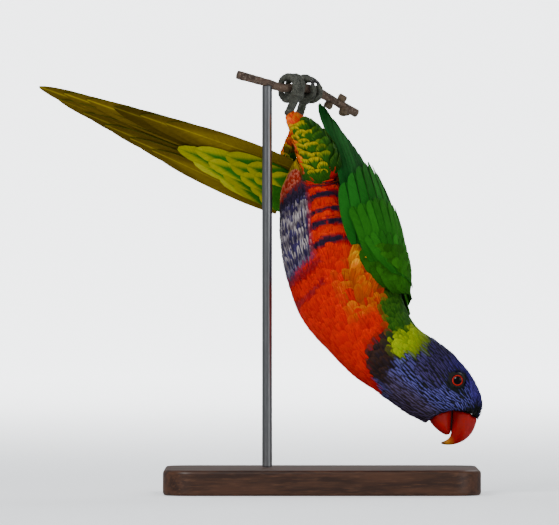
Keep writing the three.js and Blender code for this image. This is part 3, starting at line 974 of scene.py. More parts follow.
@dataclass(frozen=True)
class EyeGloss:
    """The finish of an eye: a dark pupil in a coloured ring, under a clear glossy coat."""

    name: str
    pupil: float = 1.9
    ring: float = 2.6

    def material(self) -> Material:
        """Makes the material.

        Returns:
            The material.
        """
        shader = Shader(self.name)
        flat = shader.node(
            "ShaderNodeVectorMath", {"operation": "MULTIPLY"}, shader.place(), (1.0, 0.0, 1.0)
        )
        centre = (EYE_X * MM, 0.0, EYE_Z * MM)
        away = shader.node(
            "ShaderNodeVectorMath", {"operation": "DISTANCE"}, flat, centre, output="Value"
        )
        grain = shader.noise(shader.place(), 1500, 3.0)
        edge = away + (grain - 0.5) * 0.00018
        iris = shader.mix(grain.rise(0.3, 0.7), colour(206, 52, 46), colour(172, 26, 24))
        inner = edge.rise((self.pupil + 0.05) * MM, (self.pupil + 0.3) * MM)
        iris = shader.mix(inner, colour(60, 16, 14), iris)
        tint = shader.mix(edge.rise((self.pupil - 0.1) * MM, self.pupil * MM), colour(4, 4, 5), iris)
        rim = edge.rise((self.ring - 0.2) * MM, self.ring * MM)
        shader.set("Base Color", shader.mix(rim, tint, colour(16, 12, 12)))
        shader.set("Roughness", 0.2)
        shader.set("Specular IOR Level", 0.04)
        shader.set("Coat Weight", 0.35)
        shader.set("Coat Roughness", 0.02)
        return shader.material


# Markings


class Rows:
    """Arrays with a row for each feather, in the order of their names."""

    def arrays(self) -> list[Array]:
        """Gives the arrays themselves."""
        return [getattr(self, one.name) for one in fields(self)]

    def picked(self, chosen: Array) -> "Rows":
        """Gives the chosen rows alone."""
        return type(self)(*(rows[chosen] for rows in self.arrays()))


@dataclass(frozen=True)
class Look:
    """How a patch of feathers is coloured, in colours as seen on a screen."""

    ground: Seen
    rim: Seen
    shaft: Seen
    rim_share: float
    shaft_share: float

    def arrays(self) -> list[Array]:
        """Gives the colours in linear light, and the two shares."""
        tints = [np.array(colour(*tint)) for tint in (self.ground, self.rim, self.shaft)]
        return [*tints, np.array(self.rim_share), np.array(self.shaft_share)]


@dataclass(frozen=True)
class Patch:
    """Where on the body a look is found: shares along it and degrees from the belly line.

    Slant is how far both ends move along from the belly line to SLANTED degrees round the body, and
    speckle is the share of the feathers that take the look.
    """

    look: Look
    share: Pair
    turn: Pair
    soft: Pair = (0.012, 6.0)
    slant: float = 0.0
    speckle: float = 1.2
    SLANTED: ClassVar[float] = 60.0

    def cover(self, shares: Array, turns: Array, draws: Array | float = 0.0) -> Array:
        """Grades how fully the patch covers places on the body.

        Args:
            shares: Shares of the body's length.
            turns: Degrees from the belly line, either way.
            draws: A random number from 0 to 1 for each place, which speckles the look.

        Returns:
            The cover of each place, 0 to 1.
        """
        turns = np.abs(turns)
        slid = shares - self.slant * np.clip(turns, 0, self.SLANTED) / self.SLANTED
        cover = smooth(self.speckle - draws, -0.1, 0.1)
        for values, ends, soft in ((slid, self.share, self.soft[0]), (turns, self.turn, self.soft[1])):
            cover = cover * smooth(values, ends[0] - soft, ends[0] + soft)
            cover = cover * (1 - smooth(values, ends[1] - soft, ends[1] + soft))
        return cover


@dataclass
class Paint(Rows):
    """The colours of many feathers at once."""

    ground: Array
    rim: Array
    shaft: Array
    rim_share: Array
    shaft_share: Array

    @classmethod
    def plain(cls, look: Look, count: int) -> "Paint":
        """Gives every feather the same look."""
        return cls(*(np.repeat(value[None], count, axis=0) for value in look.arrays()))

    def spread(self, size: int) -> "Paint":
        """Repeats the colours of each feather for each of its points."""
        return Paint(*(np.repeat(rows, size, axis=0) for rows in self.arrays()))

    def over(self, other: "Look | Paint", cover: Array) -> None:
        """Lays a look, or colours of each feather's own, over the feathers by its cover of each."""
        for rows, wanted in zip(self.arrays(), other.arrays()):
            rows += (wanted - rows) * (cover[:, None] if rows.ndim > 1 else cover)


class Markings:
    """The bird's markings, shared by its skin and its coat."""

    STREAKED = Look((22, 19, 30), (17, 16, 21), (92, 90, 168), 0.5, 0.95)
    CHIN = Look((48, 36, 44), (26, 21, 27), (88, 76, 118), 0.5, 0.8)
    NAPE = Look((30, 25, 36), (20, 18, 22), (72, 60, 118), 0.5, 0.75)
    CROWN = Look((42, 33, 88), (26, 22, 50), (80, 62, 162), 0.4, 0.85)
    LORES = Look((22, 21, 24), (17, 17, 18), (34, 32, 48), 0.3, 0.3)
    BARE = Look((24, 26, 28), (17, 18, 19), (32, 34, 46), 0.3, 0.2)
    COLLAR = Look((120, 144, 1), (158, 172, 2), (124, 150, 1), 0.6, 0.1)
    MANTLE = Look((34, 78, 16), (52, 98, 24), (20, 52, 12), 0.5, 0.3)
    SCARLET = Look((186, 4, 1), (198, 30, 2), (150, 6, 4), 0.35, 0.3)
    # The dark band at the neck: dark barred feathers there, darkened further as painted shade.
    BAND_AND_SHADE = Look((36, 22, 26), (52, 26, 30), (40, 28, 50), 0.45, 0.3)
    AMBER = Look((172, 66, 4), (184, 98, 4), (166, 38, 6), 0.5, 0.3)
    VIOLET = Look((44, 34, 78), (66, 56, 104), (74, 66, 116), 0.5, 0.4)
    SILVER = Look((112, 100, 112), (180, 170, 172), (204, 196, 192), 0.6, 0.8)
    NAVY = Look((34, 24, 46), (54, 44, 76), (26, 18, 38), 0.5, 0.2)
    FLANK = Look((196, 10, 2), (208, 46, 4), (176, 24, 6), 0.5, 0.1)
    BAR = Look((28, 20, 38), (46, 32, 54), (24, 18, 34), 0.6, 0.2)
    VENT = Look((158, 36, 24), (196, 120, 100), (140, 28, 20), 0.6, 0.4)
    GOLD = Look((142, 116, 22), (184, 150, 6), (110, 94, 20), 0.8, 0.2)
    FLUFF = Look((204, 112, 6), (226, 168, 8), (198, 70, 8), 0.8, 0.2)
    THIGH = Look((38, 80, 14), (160, 138, 4), (34, 70, 12), 0.9, 0.1)
    THIGH_DARK = Look((31, 72, 17), (62, 100, 22), (22, 54, 14), 0.6, 0.2)
    ANKLE = Look((198, 56, 16), (224, 114, 6), (176, 40, 14), 0.7, 0.2)

    PATCHES = (
        Patch(SCARLET, (0.442, 0.95), (-20, 200), (0.008, 6), 0.064),
        # The neck's dark band, partly barred feathers and partly painted shade.
        Patch(BAND_AND_SHADE, (0.394, 0.447), (34, 108), (0.012, 8), 0.064),
        Patch(AMBER, (0.556, 0.662), (60, 140), (0.014, 10), 0.0, 0.85),
        Patch(VIOLET, (0.685, 0.86), (-20, 42), (0.010, 10), 0.02),
        Patch(SILVER, (0.70, 0.82), (-4, 42), (0.016, 14), 0.014, 0.54),
        Patch(NAVY, (0.825, 0.868), (-20, 46), (0.012, 8)),
        Patch(VENT, (0.868, 0.94), (-20, 60), (0.012, 8)),
        Patch(GOLD, (0.935, 1.2), (-20, 200), (0.012, 8)),
        Patch(FLUFF, (0.655, 0.715), (80, 112), (0.008, 5)),
        Patch(FLUFF, (0.70, 0.80), (86, 104), (0.01, 4)),
        Patch(MANTLE, (0.462, 0.565), (99, 200), (0.008, 6)),
        Patch(MANTLE, (0.545, 1.2), (112, 200), (0.01, 5)),
        Patch(MANTLE, (0.86, 1.2), (84, 200), (0.012, 8)),
        Patch(COLLAR, (0.414, 0.480), (104, 200), (0.008, 6)),
        Patch(COLLAR, (0.444, 0.491), (87, 116), (0.008, 6)),
        Patch(CHIN, (-0.2, 0.43), (-20, 62), (0.02, 16), 0.03),
        Patch(NAPE, (0.30, 0.423), (84, 200), (0.03, 12)),
        Patch(CROWN, (0.06, 0.33), (140, 200), (0.03, 12)),
        Patch(LORES, (-0.2, 0.115), (86, 170), (0.02, 12)),
    )
    BARRED = Patch(FLANK, (0.70, 0.856), (36, 92), (0.008, 5))
    BELLY = Patch(VIOLET, (0.622, 0.87), (-20, 46), (0.004, 2), 0.02)
    TUFTED = Patch(FLUFF, (0.575, 0.72), (76, 114), (0.008, 3))
    BAR_PITCH = 0.032
    EYE_DARK = (4.2, 6.4)
    BAR_SHADE = 0.5

    @staticmethod
    def from_eye(points: Array) -> Array:
        """Gives the distances to the eyes, seen from the side."""
        return np.hypot(points[:, 0] - EYE_X, points[:, 2] - EYE_Z)

    def bar(self, paint: Paint, shares: Array, turns: Array) -> None:
        """Draws the thin dark bars of the flank.

        Args:
            paint: The colours to draw over, one row for each place.
            shares: The places' shares of the body's length.
            turns: Their degrees from the belly line.
        """
        wobble = 0.8 * np.sin(np.radians(turns) * 5) + 0.5 * np.sin(shares * 90)
        bars = smooth(np.sin(math.tau * shares / self.BAR_PITCH + wobble), 0.0, 0.6)
        belly = self.BAR_SHADE * self.BELLY.cover(shares, turns)
        paint.over(self.BAR, bars * np.maximum(self.BARRED.cover(shares, turns), belly))

    def on_body(self, points: Array, shares: Array, turns: Array) -> Paint:
        """Colours places of the head and body.

        Args:
            points: The places.
            shares: Their shares of the body's length.
            turns: Their degrees from the belly line.

        Returns:
            The colours of each place.
        """
        paint = Paint.plain(self.STREAKED, len(points))
        draws = scatter(points)
        for patch in self.PATCHES:
            paint.over(patch.look, patch.cover(shares, turns, draws))
        paint.over(self.FLANK, self.BARRED.cover(shares, turns, draws))
        near = 1 - smooth(self.from_eye(points), *self.EYE_DARK)
        paint.over(self.BARE, near * (shares < 0.5))
        return paint

    def on_thigh(self, reach: Array, front: Array) -> Paint:
        """Colours places of a thigh.

        Args:
            reach: Shares of the thigh's length, 1 at the ankle.
            front: How far each place faces the belly side, -1 to 1.

        Returns:
            The colours of each place.
        """
        paint = Paint.plain(self.THIGH, len(reach))
        paint.over(self.THIGH_DARK, smooth(-front, -0.2, 0.5))
        paint.over(self.ANKLE, smooth(front, 0.84, 0.99) * smooth(reach, 0.3, 0.5))
        paint.over(self.ANKLE, smooth(reach, 0.84, 0.94))
        return paint


# Feathers


@dataclass(frozen=True)
class FeatherForm:
    """The outline and arch of one kind of feather, for a unit length and a unit width.

    Stops are shares of the length, and widths are shares of the width at each stop. Arch is how far
    the shaft stands over the edges, in widths.
    """

    stops: tuple[float, ...]
    widths: tuple[float, ...]
    columns: int = 2
    arch: float = 0.1
    thickness: float = 0.03

    def model(self) -> "FlatFeather":
        """Models the feather flat and takes its points and faces.

        Returns:
            The feather, its points across, along and over the unit square.
        """
        Bench.clear()
        bpy.ops.mesh.primitive_grid_add(
            x_subdivisions=self.columns, y_subdivisions=len(self.stops) - 1, size=1
        )
        piece = bpy.context.object
        points = Bench.points(piece)
        rows = np.unique(points[:, 1].round(5))
        for row, stop, width in zip(rows, self.stops, self.widths):
            Bench.pick(piece, np.abs(points[:, 1] - row) < 0.0001)
            bpy.ops.transform.resize(value=(width, 1, 1), center_override=(0, 0, 0))
            bpy.ops.transform.translate(value=(0, stop - row, 0))
            bpy.ops.object.mode_set(mode="OBJECT")
        for vertex in piece.data.vertices:
            vertex.co.z = self.arch * (1 - (2 * vertex.co.x) ** 2)
        Bench.modify(piece, "SOLIDIFY", thickness=self.thickness, offset=-1.0)
        points = Bench.points(piece)
        faces = np.array([tuple(face.vertices) for face in piece.data.polygons])
        bpy.data.objects.remove(piece)
        return FlatFeather(points, faces)


@dataclass(frozen=True)
class FlatFeather:
    """A modelled feather's points and faces, ready to be copied."""

    points: Array
    faces: Array


class Kind(Enum):
    """The kinds of feather on the bird."""

    STREAK = FeatherForm((0, 0.35, 0.75, 1), (0.5, 1, 0.8, 0.2), 2, 0.16, 0.05)
    BODY = FeatherForm((0, 0.3, 0.6, 0.82, 0.94, 1), (0.5, 0.9, 1, 0.88, 0.6, 0.2), 2, 0.035, 0.016)
    COVERT = FeatherForm(
        (0, 0.2, 0.4, 0.6, 0.76, 0.88, 0.96, 1), (0.6, 0.9, 1, 1, 0.95, 0.8, 0.5, 0.18), 4, 0.07, 0.018
    )
    FLIGHT = FeatherForm(
        (0, 0.12, 0.24, 0.36, 0.48, 0.6, 0.7, 0.79, 0.87, 0.93, 0.975, 1),
        (0.5, 0.8, 0.95, 1, 1, 0.98, 0.93, 0.85, 0.72, 0.55, 0.32, 0.08), 4, 0.05, 0.02
    )
    TAIL = FeatherForm(
        (0, 0.12, 0.25, 0.38, 0.5, 0.62, 0.73, 0.82, 0.89, 0.945, 0.98, 1),
        (0.55, 0.8, 0.95, 1, 1, 0.97, 0.9, 0.78, 0.62, 0.42, 0.22, 0.05), 4, 0.05, 0.02
    )


@dataclass
class Plot:
    """Feathers that are ready to be copied: the places of their points, their map and colours."""

    flat: FlatFeather
    places: Array
    patch: Array
    paint: Paint
    draws: Array
    under: Paint | None = None
    cell: Pair = (0.003, 0.003)

    def rows(self, first: int) -> dict[str, Array]:
        """Gives what one mesh needs of these feathers.

        Args:
            first: How many points the mesh has before them.

        Returns:
            Their faces, and the places, maps, colours and marks of their points, by name.
        """
        count, size = self.places.shape[:2]
        starts = first + np.arange(count) * size
        own = self.flat.points[:, :2] + np.array([0.5, 0.0])
        spots = self.patch[:, None, :] + (own[None] - 0.5) * np.array(self.cell)
        lower = np.tile(np.arange(size) >= size // 2, count)[:, None]
        paint = self.paint.spread(size) if len(self.paint.ground) == count else self.paint
        under = paint if self.under is None else self.under.spread(size)
        return {
            "faces": (self.flat.faces[None] + starts[:, None, None]).reshape(-1, 4),
            "places": self.places.reshape(-1, 3),
            Coat.VANE_MAP: np.tile(own, (count, 1)),
            Coat.BAKE_MAP: spots.reshape(-1, 2),
            Coat.MARKS: np.column_stack([paint.rim_share, paint.shaft_share, np.repeat(self.draws, size)]),
            **{name: np.where(lower, getattr(under, name), getattr(paint, name)) for name in Coat.TINTS},
        }


class Coat:
    """Pieces of the coat, each joined from many feathers."""

    VANE_MAP = "Vane"
    BAKE_MAP = "OFBake"
    GROUND, RIM, SHAFT = TINTS = ("ground", "rim", "shaft")
    MARKS = "marks"

    @classmethod
    def piece(cls, name: str, plots: Sequence[Plot]) -> Piece:
        """Joins feathers into one mesh with their maps and colours.

        Args:
            name: The piece's name.
            plots: Its feathers.

        Returns:
            The joined piece.
        """
        parts, first = [], 0
        for plot in plots:
            parts.append(plot.rows(first))
            first += len(parts[-1]["places"])
        rows = {key: np.vstack([part[key] for part in parts]) for key in parts[0]}
        faces = rows["faces"]
        mesh = bpy.data.meshes.new(name)
        mesh.vertices.add(first)
        mesh.vertices.foreach_set("co", (rows["places"] * MM).astype(np.float32).ravel())
        mesh.loops.add(faces.size)
        mesh.loops.foreach_set("vertex_index", faces.astype(np.int32).ravel())
        mesh.polygons.add(len(faces))
        mesh.polygons.foreach_set("loop_start", np.arange(0, faces.size, 4, dtype=np.int32))
        mesh.update(calc_edges=True)
        for key in (cls.VANE_MAP, cls.BAKE_MAP):
            layer = mesh.uv_layers.new(name=key)
            layer.uv.foreach_set("vector", rows[key][faces.ravel()].astype(np.float32).ravel())
        for key in cls.TINTS:
            Bench.tint(mesh, key, rows[key])
        layer = mesh.attributes.new(cls.MARKS, "FLOAT_VECTOR", "POINT")
        layer.data.foreach_set("vector", rows[cls.MARKS].astype(np.float32).ravel())
        return Bench.settle(Bench.face_out(Bench.adopt(name, mesh)), 50)


# Skin and body coat


class Skin:
    """The one skin over head, body and thighs, which the coat grows from."""

    NODES = ("head", "neck", "torso", "rump", "thigh_right", "thigh_left")
    SWELL = 0.45
    VOXEL = 1.0
    DEPTH = 0.75
    SHALLOW = 0.15
    BILL_BASE = np.array([63.0, HEAD_Y, 37.0])
    BILL_REACH = (12.0, 19.0)

    def __init__(self, body: BodyShape, markings: Markings) -> None:
        """Fuses the flesh and reads it for the coat.

        Args:
            body: The form that gives places on the body.
            markings: The bird's markings.
        """
        self.body = body
        self.markings = markings
        self.trunk = [node_tree(node) for node in ("torso", "rump")]
        self.thighs = [node_tree(f"thigh_{leg.side.tag}") for leg in LEGS]
        self.piece = self.fused()
        self.points = Bench.points(self.piece) / MM
        self.piece.data.calc_loop_triangles()
        self.faces = np.array([triangle.vertices[:] for triangle in self.piece.data.loop_triangles])
        self.normals = self.smooth_normals()
        self.tree = BVHTree.FromPolygons(self.points.tolist(), self.faces.tolist())

    def fused(self) -> Piece:
        """Fuses the solids of the flesh and sinks them by the depth of the coat.

        Returns:
            The skin's piece.
        """
        piece = Bench.join([Bench.node_copy(node) for node in self.NODES], "skin")
        Bench.modify(piece, "DISPLACE", strength=self.SWELL * MM, mid_level=0.0)
        Bench.modify(piece, "REMESH", mode="VOXEL", voxel_size=self.VOXEL * MM)
        Bench.modify(piece, "SMOOTH", factor=0.5, iterations=8)
        mesh = piece.data
        points = Bench.points(piece) / MM
        normals = np.array([vertex.normal for vertex in mesh.vertices])
        from_bill = np.linalg.norm(points - self.BILL_BASE, axis=1)
        depth = self.SHALLOW + (self.DEPTH - self.SHALLOW) * smooth(from_bill, *self.BILL_REACH)
        points = points - normals * (self.SWELL + depth)[:, None]
        mesh.vertices.foreach_set("co", (points * MM).ravel())
        Bench.modify(piece, "SMOOTH", factor=0.5, iterations=3)
        return piece

    def smooth_normals(self) -> Array:
        """Averages the faces' directions over their neighbours, several times.

        Returns:
            One direction for each face.
        """
        corners = self.points[self.faces]
        flat = np.cross(corners[:, 1] - corners[:, 0], corners[:, 2] - corners[:, 0])
        for _ in range(6):
            total = np.zeros_like(self.points)
            for corner in range(3):
                np.add.at(total, self.faces[:, corner], flat)
            flat = unit(total)[self.faces].sum(axis=1)
        return unit(flat)

    def drape(self, places: Array) -> tuple[Array, Array]:
        """Drops places onto the skin.

        Args:
            places: Places near the skin, in rows of three.

        Returns:
            The nearest places of the skin and its smoothed directions there.
        """
        nearest, faces = [], []
        for place in places.tolist():
            spot, _, face, _ = self.tree.find_nearest(Vector(place))
            nearest.append(spot[:])
            faces.append(face)
        return np.array(nearest), self.normals[faces]

    def thigh_reach(self, points: Array) -> tuple[Array, Array, Array]:
        """Finds which places lie on the thighs.

        Args:
            points: Places near the skin.

        Returns:
            The index of each place's leg, the share of the leg's length, and how surely it is on the
            thigh, 0 to 1.
        """
        stops = np.linspace(0, 1, 60)
        shares, sure = np.zeros((2, len(points))), np.zeros((2, len(points)))
        for index, (leg, thigh) in enumerate(zip(LEGS, self.thighs)):
            gaps = np.linalg.norm(points[:, None] - leg.route.at(stops)[None], axis=-1)
            nearest = np.argmin(gaps - leg.radius(stops)[None] * 0.6, axis=1)
            shares[index] = stops[nearest]
            over = gaps[np.arange(len(points)), nearest] - leg.radius(stops[nearest])
            for row in np.nonzero(over < 2.5)[0]:
                spot = Vector(points[row])
                flesh = min(tree.find_nearest(spot)[3] for tree in self.trunk)
                sure[index, row] = flesh - thigh.find_nearest(spot)[3]
        sure = smooth(sure, -0.1, 0.7)
        which = np.argmax(sure, axis=0)
        index = np.arange(len(points))
        return which, shares[which, index], sure[which, index]

    def paint(self, points: Array, barred: bool) -> Paint:
        """Colours places of the skin by the bird's markings.

        Args:
            points: Places near the skin.
            barred: Whether the flank's bars are drawn here, and not later along each feather.

        Returns:
            The colours of each place.
        """
        shares, turns = self.body.locate(points)
        paint = self.markings.on_body(points, shares, turns)
        if barred:
            self.markings.bar(paint, shares, turns)
        which, reach, sure = self.thigh_reach(points)
        for index, leg in enumerate(LEGS):
            middle = leg.route.at(reach)
            front = unit(points - middle) @ np.array(leg.front)
            paint.over(self.markings.on_thigh(reach, front), sure * (which == index))
        return paint

    def dress(self) -> None:
        """Colours the skin and fixes it to the frame in place of the flesh."""
        Bench.tint(self.piece.data, Coat.GROUND, self.paint(self.points, barred=True).ground)
        Bench.settle(self.piece, 180)
        # The hide finish darkens the skin's coat colours as painted shade under the feathers.
        wear(self.piece, Hide("hide").material(), "body_feathers", *self.NODES)


@dataclass
class Roots(Rows):
    """Where feathers grow: their places, the skin's directions there, and where each is on the bird.

    Shares and turns place them on the body. Which, reach and sure are the nearest leg, the share of
    that leg's length, and how surely the place is on its thigh.
    """

    places: Array
    normals: Array
    shares: Array
    turns: Array
    which: Array
    reach: Array
    sure: Array

    def tufted(self) -> Array:
        """Gives how surely each is one of the tufts that stand over the near wing."""
        return Markings.TUFTED.cover(self.shares, np.maximum(self.turns, 0))


@dataclass(frozen=True)
class Growth:
    """How the coat grows: spacing, length, width and tip height, at stops of the body's length.

    The thigh has four such measures of its own. Fibres and tufts are factors on the belly's and the
    breast side's measures.
    """

    stops: tuple[float, ...] = (0.0, 0.08, 0.2, 0.34, 0.42, 0.47, 0.56, 0.8, 0.9, 1.0)
    spacing: tuple[float, ...] = (0.75, 0.9, 1.15, 1.3, 1.45, 1.65, 1.9, 1.9, 2.0, 2.0)
    length: tuple[float, ...] = (1.8, 2.8, 4.4, 5.8, 7.2, 9.0, 11.0, 11.0, 10.5, 10.0)
    width: tuple[float, ...] = (0.8, 1.0, 1.25, 1.5, 2.2, 3.8, 5.2, 5.2, 5.0, 5.0)
    lift: tuple[float, ...] = (0.35, 0.45, 0.5, 0.5, 0.42, 0.36, 0.32, 0.34, 0.4, 0.45)
    thigh: tuple[float, float, float, float] = (4.0, 10.0, 8.6, 1.05)
    fibres: tuple[float, float, float, float] = (0.5, 0.42, 0.17, 1.5)
    tufts: tuple[float, float, float, float] = (0.85, 0.85, 0.75, 11.0)
    shorter: float = 0.62

    def at(self, roots: Roots) -> Array:
        """Gives the measures at roots of feathers.

        Args:
            roots: The roots.

        Returns:
            Rows of spacing, length, width and tip height.
        """
        rows = (self.spacing, self.length, self.width, self.lift)
        body = np.column_stack([np.interp(roots.shares, self.stops, row) for row in rows])
        belly = Markings.BELLY.cover(roots.shares, roots.turns)
        for factors, cover in ((self.fibres, belly), (self.tufts, roots.tufted())):
            body = body * (1 + (np.array(factors) - 1) * cover[:, None])
        leg = np.array(self.thigh) * (1 - self.shorter * roots.reach**2)[:, None]
        return body + (leg - body) * roots.sure[:, None]


class BodyCoat:
    """The small feathers of head, body and thighs."""

    CANDIDATES = 130000
    BILL_HEART = np.array([67.0, HEAD_Y, 41.0])
    EYE_CLEAR = 3.5
    EYE_SMALL = 7.5
    HEAD_END = 0.42
    NECK_LINE = 5.0
    WING_REACH = 9.0
    TURNED_OUT = 0.6
    PAINTED = 0.8
    ZONES = {"head": 0.43, "breast": 0.60, "belly": 0.78, "rump": 9.0}

    def __init__(self, skin: Skin) -> None:
        """Prepares to grow the coat.

        Args:
            skin: The skin that it grows from.
        """
        self.skin = skin
        self.growth = Growth()
        self.draw = np.random.default_rng(20)
        self.bare = [node_tree(node) for node in ("upper_bill", "lower_bill")]
        self.wings = [node_tree(f"wing_{side.tag}") for side in Side]

    def candidates(self) -> Roots:
        """Draws roots all over the skin, more closely on the head.

        Returns:
            The roots.
        """
        corners = self.skin.points[self.skin.faces]
        sides = corners[:, 1] - corners[:, 0], corners[:, 2] - corners[:, 0]
        area = np.linalg.norm(np.cross(*sides), axis=1)
        weight = area * (1 + 3 * smooth(corners[:, 0, 0], 20, 40))
        faces = self.draw.choice(len(area), self.CANDIDATES, p=weight / weight.sum())
        first, second = self.draw.random((2, self.CANDIDATES))
        over = first + second > 1
        first[over], second[over] = 1 - first[over], 1 - second[over]
        places = corners[faces, 0] + sides[0][faces] * first[:, None] + sides[1][faces] * second[:, None]
        located = self.skin.body.locate(places)
        return Roots(places, self.skin.normals[faces], *located, *self.skin.thigh_reach(places))

    def thinned(self, places: Array, spacing: Array) -> Array:
        """Keeps places that stand at least their own spacing apart.

        Args:
            places: The places.
            spacing: The least distance round each.

        Returns:
            The indices of the places that are kept.
        """
        tree = KDTree(len(places))
        for index, place in enumerate(places.tolist()):
            tree.insert(place, index)
        tree.balance()
        kept = np.ones(len(places), bool)
        for index, (place, reach) in enumerate(zip(places.tolist(), spacing.tolist())):
            if kept[index]:
                near = [other for _, other, _ in tree.find_range(place, reach) if other > index]
                kept[near] = False
        return np.nonzero(kept)[0]

    def open_to_air(self, roots: Roots) -> Array:
        """Leaves out places on the eyes and the bill and below the wings.

        Args:
            roots: Roots of feathers.

        Returns:
            Which roots stay.
        """
        off_side = np.abs(roots.places[:, 1] - HEAD_Y) < self.NECK_LINE
        stay = (Markings.from_eye(roots.places) > self.EYE_CLEAR) | off_side
        for index, (place, normal) in enumerate(zip(roots.places.tolist(), roots.normals.tolist())):
            spot, way = Vector(place), Vector(normal)
            if any(tree.find_nearest(spot)[3] < 0.5 for tree in self.bare):
                stay[index] = False
            root = spot + way * 0.1
            for tree in self.wings:
                if tree.ray_cast(root, way, self.WING_REACH)[0] is not None:
                    ahead = root + self.tailward(spot) * 4
                    if tree.ray_cast(ahead, way, self.WING_REACH)[0] is not None:
                        stay[index] = False
        return stay

    def tailward(self, spot: Vector) -> Vector:
        """Gives the direction along the body near a place.

        Args:
            spot: The place.

        Returns:
            The direction.
        """
        stops = np.linspace(0, 1, 30)
        near = np.argmin(np.linalg.norm(self.skin.body.middle.at(stops) - np.array(spot), axis=1))
        return Vector(self.skin.body.middle.along(stops[near]))

    def lie(self, roots: Roots) -> Array:
        """Gives the way that feathers point: from the bill, then along the body or the thigh.

        Args:
            roots: Their roots.

        Returns:
            One direction for each root.
        """
        surface, step = self.skin.body.surface, 0.02
        near = np.minimum(roots.shares + step, 1.0)
        body = unit(surface(near, roots.turns) - surface(near - step, roots.turns))
        face = unit(roots.places - self.BILL_HEART)
        way = unit(face + (body - face) * smooth(roots.shares, 0.16, 0.36)[:, None])
        legs = np.array([leg.route.along(roots.reach) for leg in LEGS])[roots.which, np.arange(len(way))]
        way = way + (legs - way) * roots.sure[:, None]
        way = way + 0.07 * self.draw.standard_normal(way.shape)
        outward = surface(roots.shares, roots.turns + 4) - surface(roots.shares, roots.turns)
        return way + self.TURNED_OUT * roots.tufted()[:, None] * unit(outward)

    def lay(self, flat: FlatFeather, roots: Roots, ways: Array, sizes: Array) -> Array:
        """Lays copies of a feather on the skin.

        Args:
            flat: The feather.
            roots: Where the copies grow.
            ways: Where the copies point.
            sizes: Rows of length, width, height of the root and height of the tip.

        Returns:
            The places of every copy's points.
        """
        upright = roots.normals
        level = unit(ways - upright * np.einsum("pk,pk->p", ways, upright)[:, None])
        aside = np.cross(level, upright)
        x, y, z = flat.points.T
        length, width, base, tip = sizes.T
        spread = roots.places[:, None] + aside[:, None] * (x[None, :, None] * width[:, None, None])
        spread = spread + level[:, None] * (y[None, :, None] * length[:, None, None])
        spots, outward = self.skin.drape(spread.reshape(-1, 3))
        height = base[:, None] + (tip - base)[:, None] * y[None] + z[None] * width[:, None]
        return spots.reshape(spread.shape) + outward.reshape(spread.shape) * height[..., None]

    @staticmethod
    def patches(roots: Roots) -> Array:
        """Unwraps roots for the closing map: the body as one island and each thigh as its own.

        Args:
            roots: The roots.

        Returns:
            A place on the map for each root.
        """
        body = np.column_stack([0.02 + 0.96 * (roots.turns / 360 + 0.5), 0.02 + 0.74 * roots.shares])
        aside = np.zeros(len(roots.places))
        for index, leg in enumerate(LEGS):
            offset = roots.places - leg.route.at(roots.reach)
            side = np.cross(leg.front, leg.route.along(roots.reach))
            angle = np.arctan2(np.einsum("pk,pk->p", offset, side), offset @ leg.front)
            round_leg = 0.03 + 0.5 * index + 0.44 * (angle / math.tau + 0.5)
            aside = np.where(roots.which == index, round_leg, aside)
        thigh = np.column_stack([aside, 0.8 + 0.18 * roots.reach])
        return np.where(roots.sure[:, None] > 0.5, thigh, body)

    def sizes(self, roots: Roots) -> Array:
        """Gives the feathers' sizes, smaller round the eyes and a little uneven.

        Args:
            roots: Their roots.

        Returns:
            Rows of length, width, height of the root and height of the tip.
        """
        _, length, width, lift = self.growth.at(roots).T
        on_head = roots.shares < self.HEAD_END
        from_eye = smooth(Markings.from_eye(roots.places), self.EYE_CLEAR, self.EYE_SMALL)
        small = np.where(on_head, 0.4 + 0.6 * from_eye, 1.0)
        vary = 1 + 0.14 * self.draw.standard_normal((len(small), 3)).clip(-2, 2)
        return np.column_stack([
            length * small * vary[:, 0], width * (0.5 + 0.5 * small) * vary[:, 1],
            np.where(on_head, 0.05, 0.1), lift * small * vary[:, 2] + 0.1,
        ])

    def zones(self, roots: Roots, streaked: Array) -> dict[str, tuple[Array, Kind]]:
        """Shares the roots out among the coat's pieces.

        Args:
            roots: The roots.
            streaked: Which of them carry streaks.

        Returns:
            Which roots each piece has, and their kind of feather, by the piece's name.
        """
        chosen, lower = {}, -9.0
        for zone, upper in self.ZONES.items():
            within = (roots.shares >= lower) & (roots.shares < upper) & (roots.sure < 0.5)
            chosen[f"{zone}_streaks"] = (within & streaked, Kind.STREAK)
            chosen[f"{zone}_feathers"] = (within & ~streaked, Kind.BODY)
            lower = upper
        chosen["thigh_feathers"] = (roots.sure >= 0.5, Kind.BODY)
        return chosen

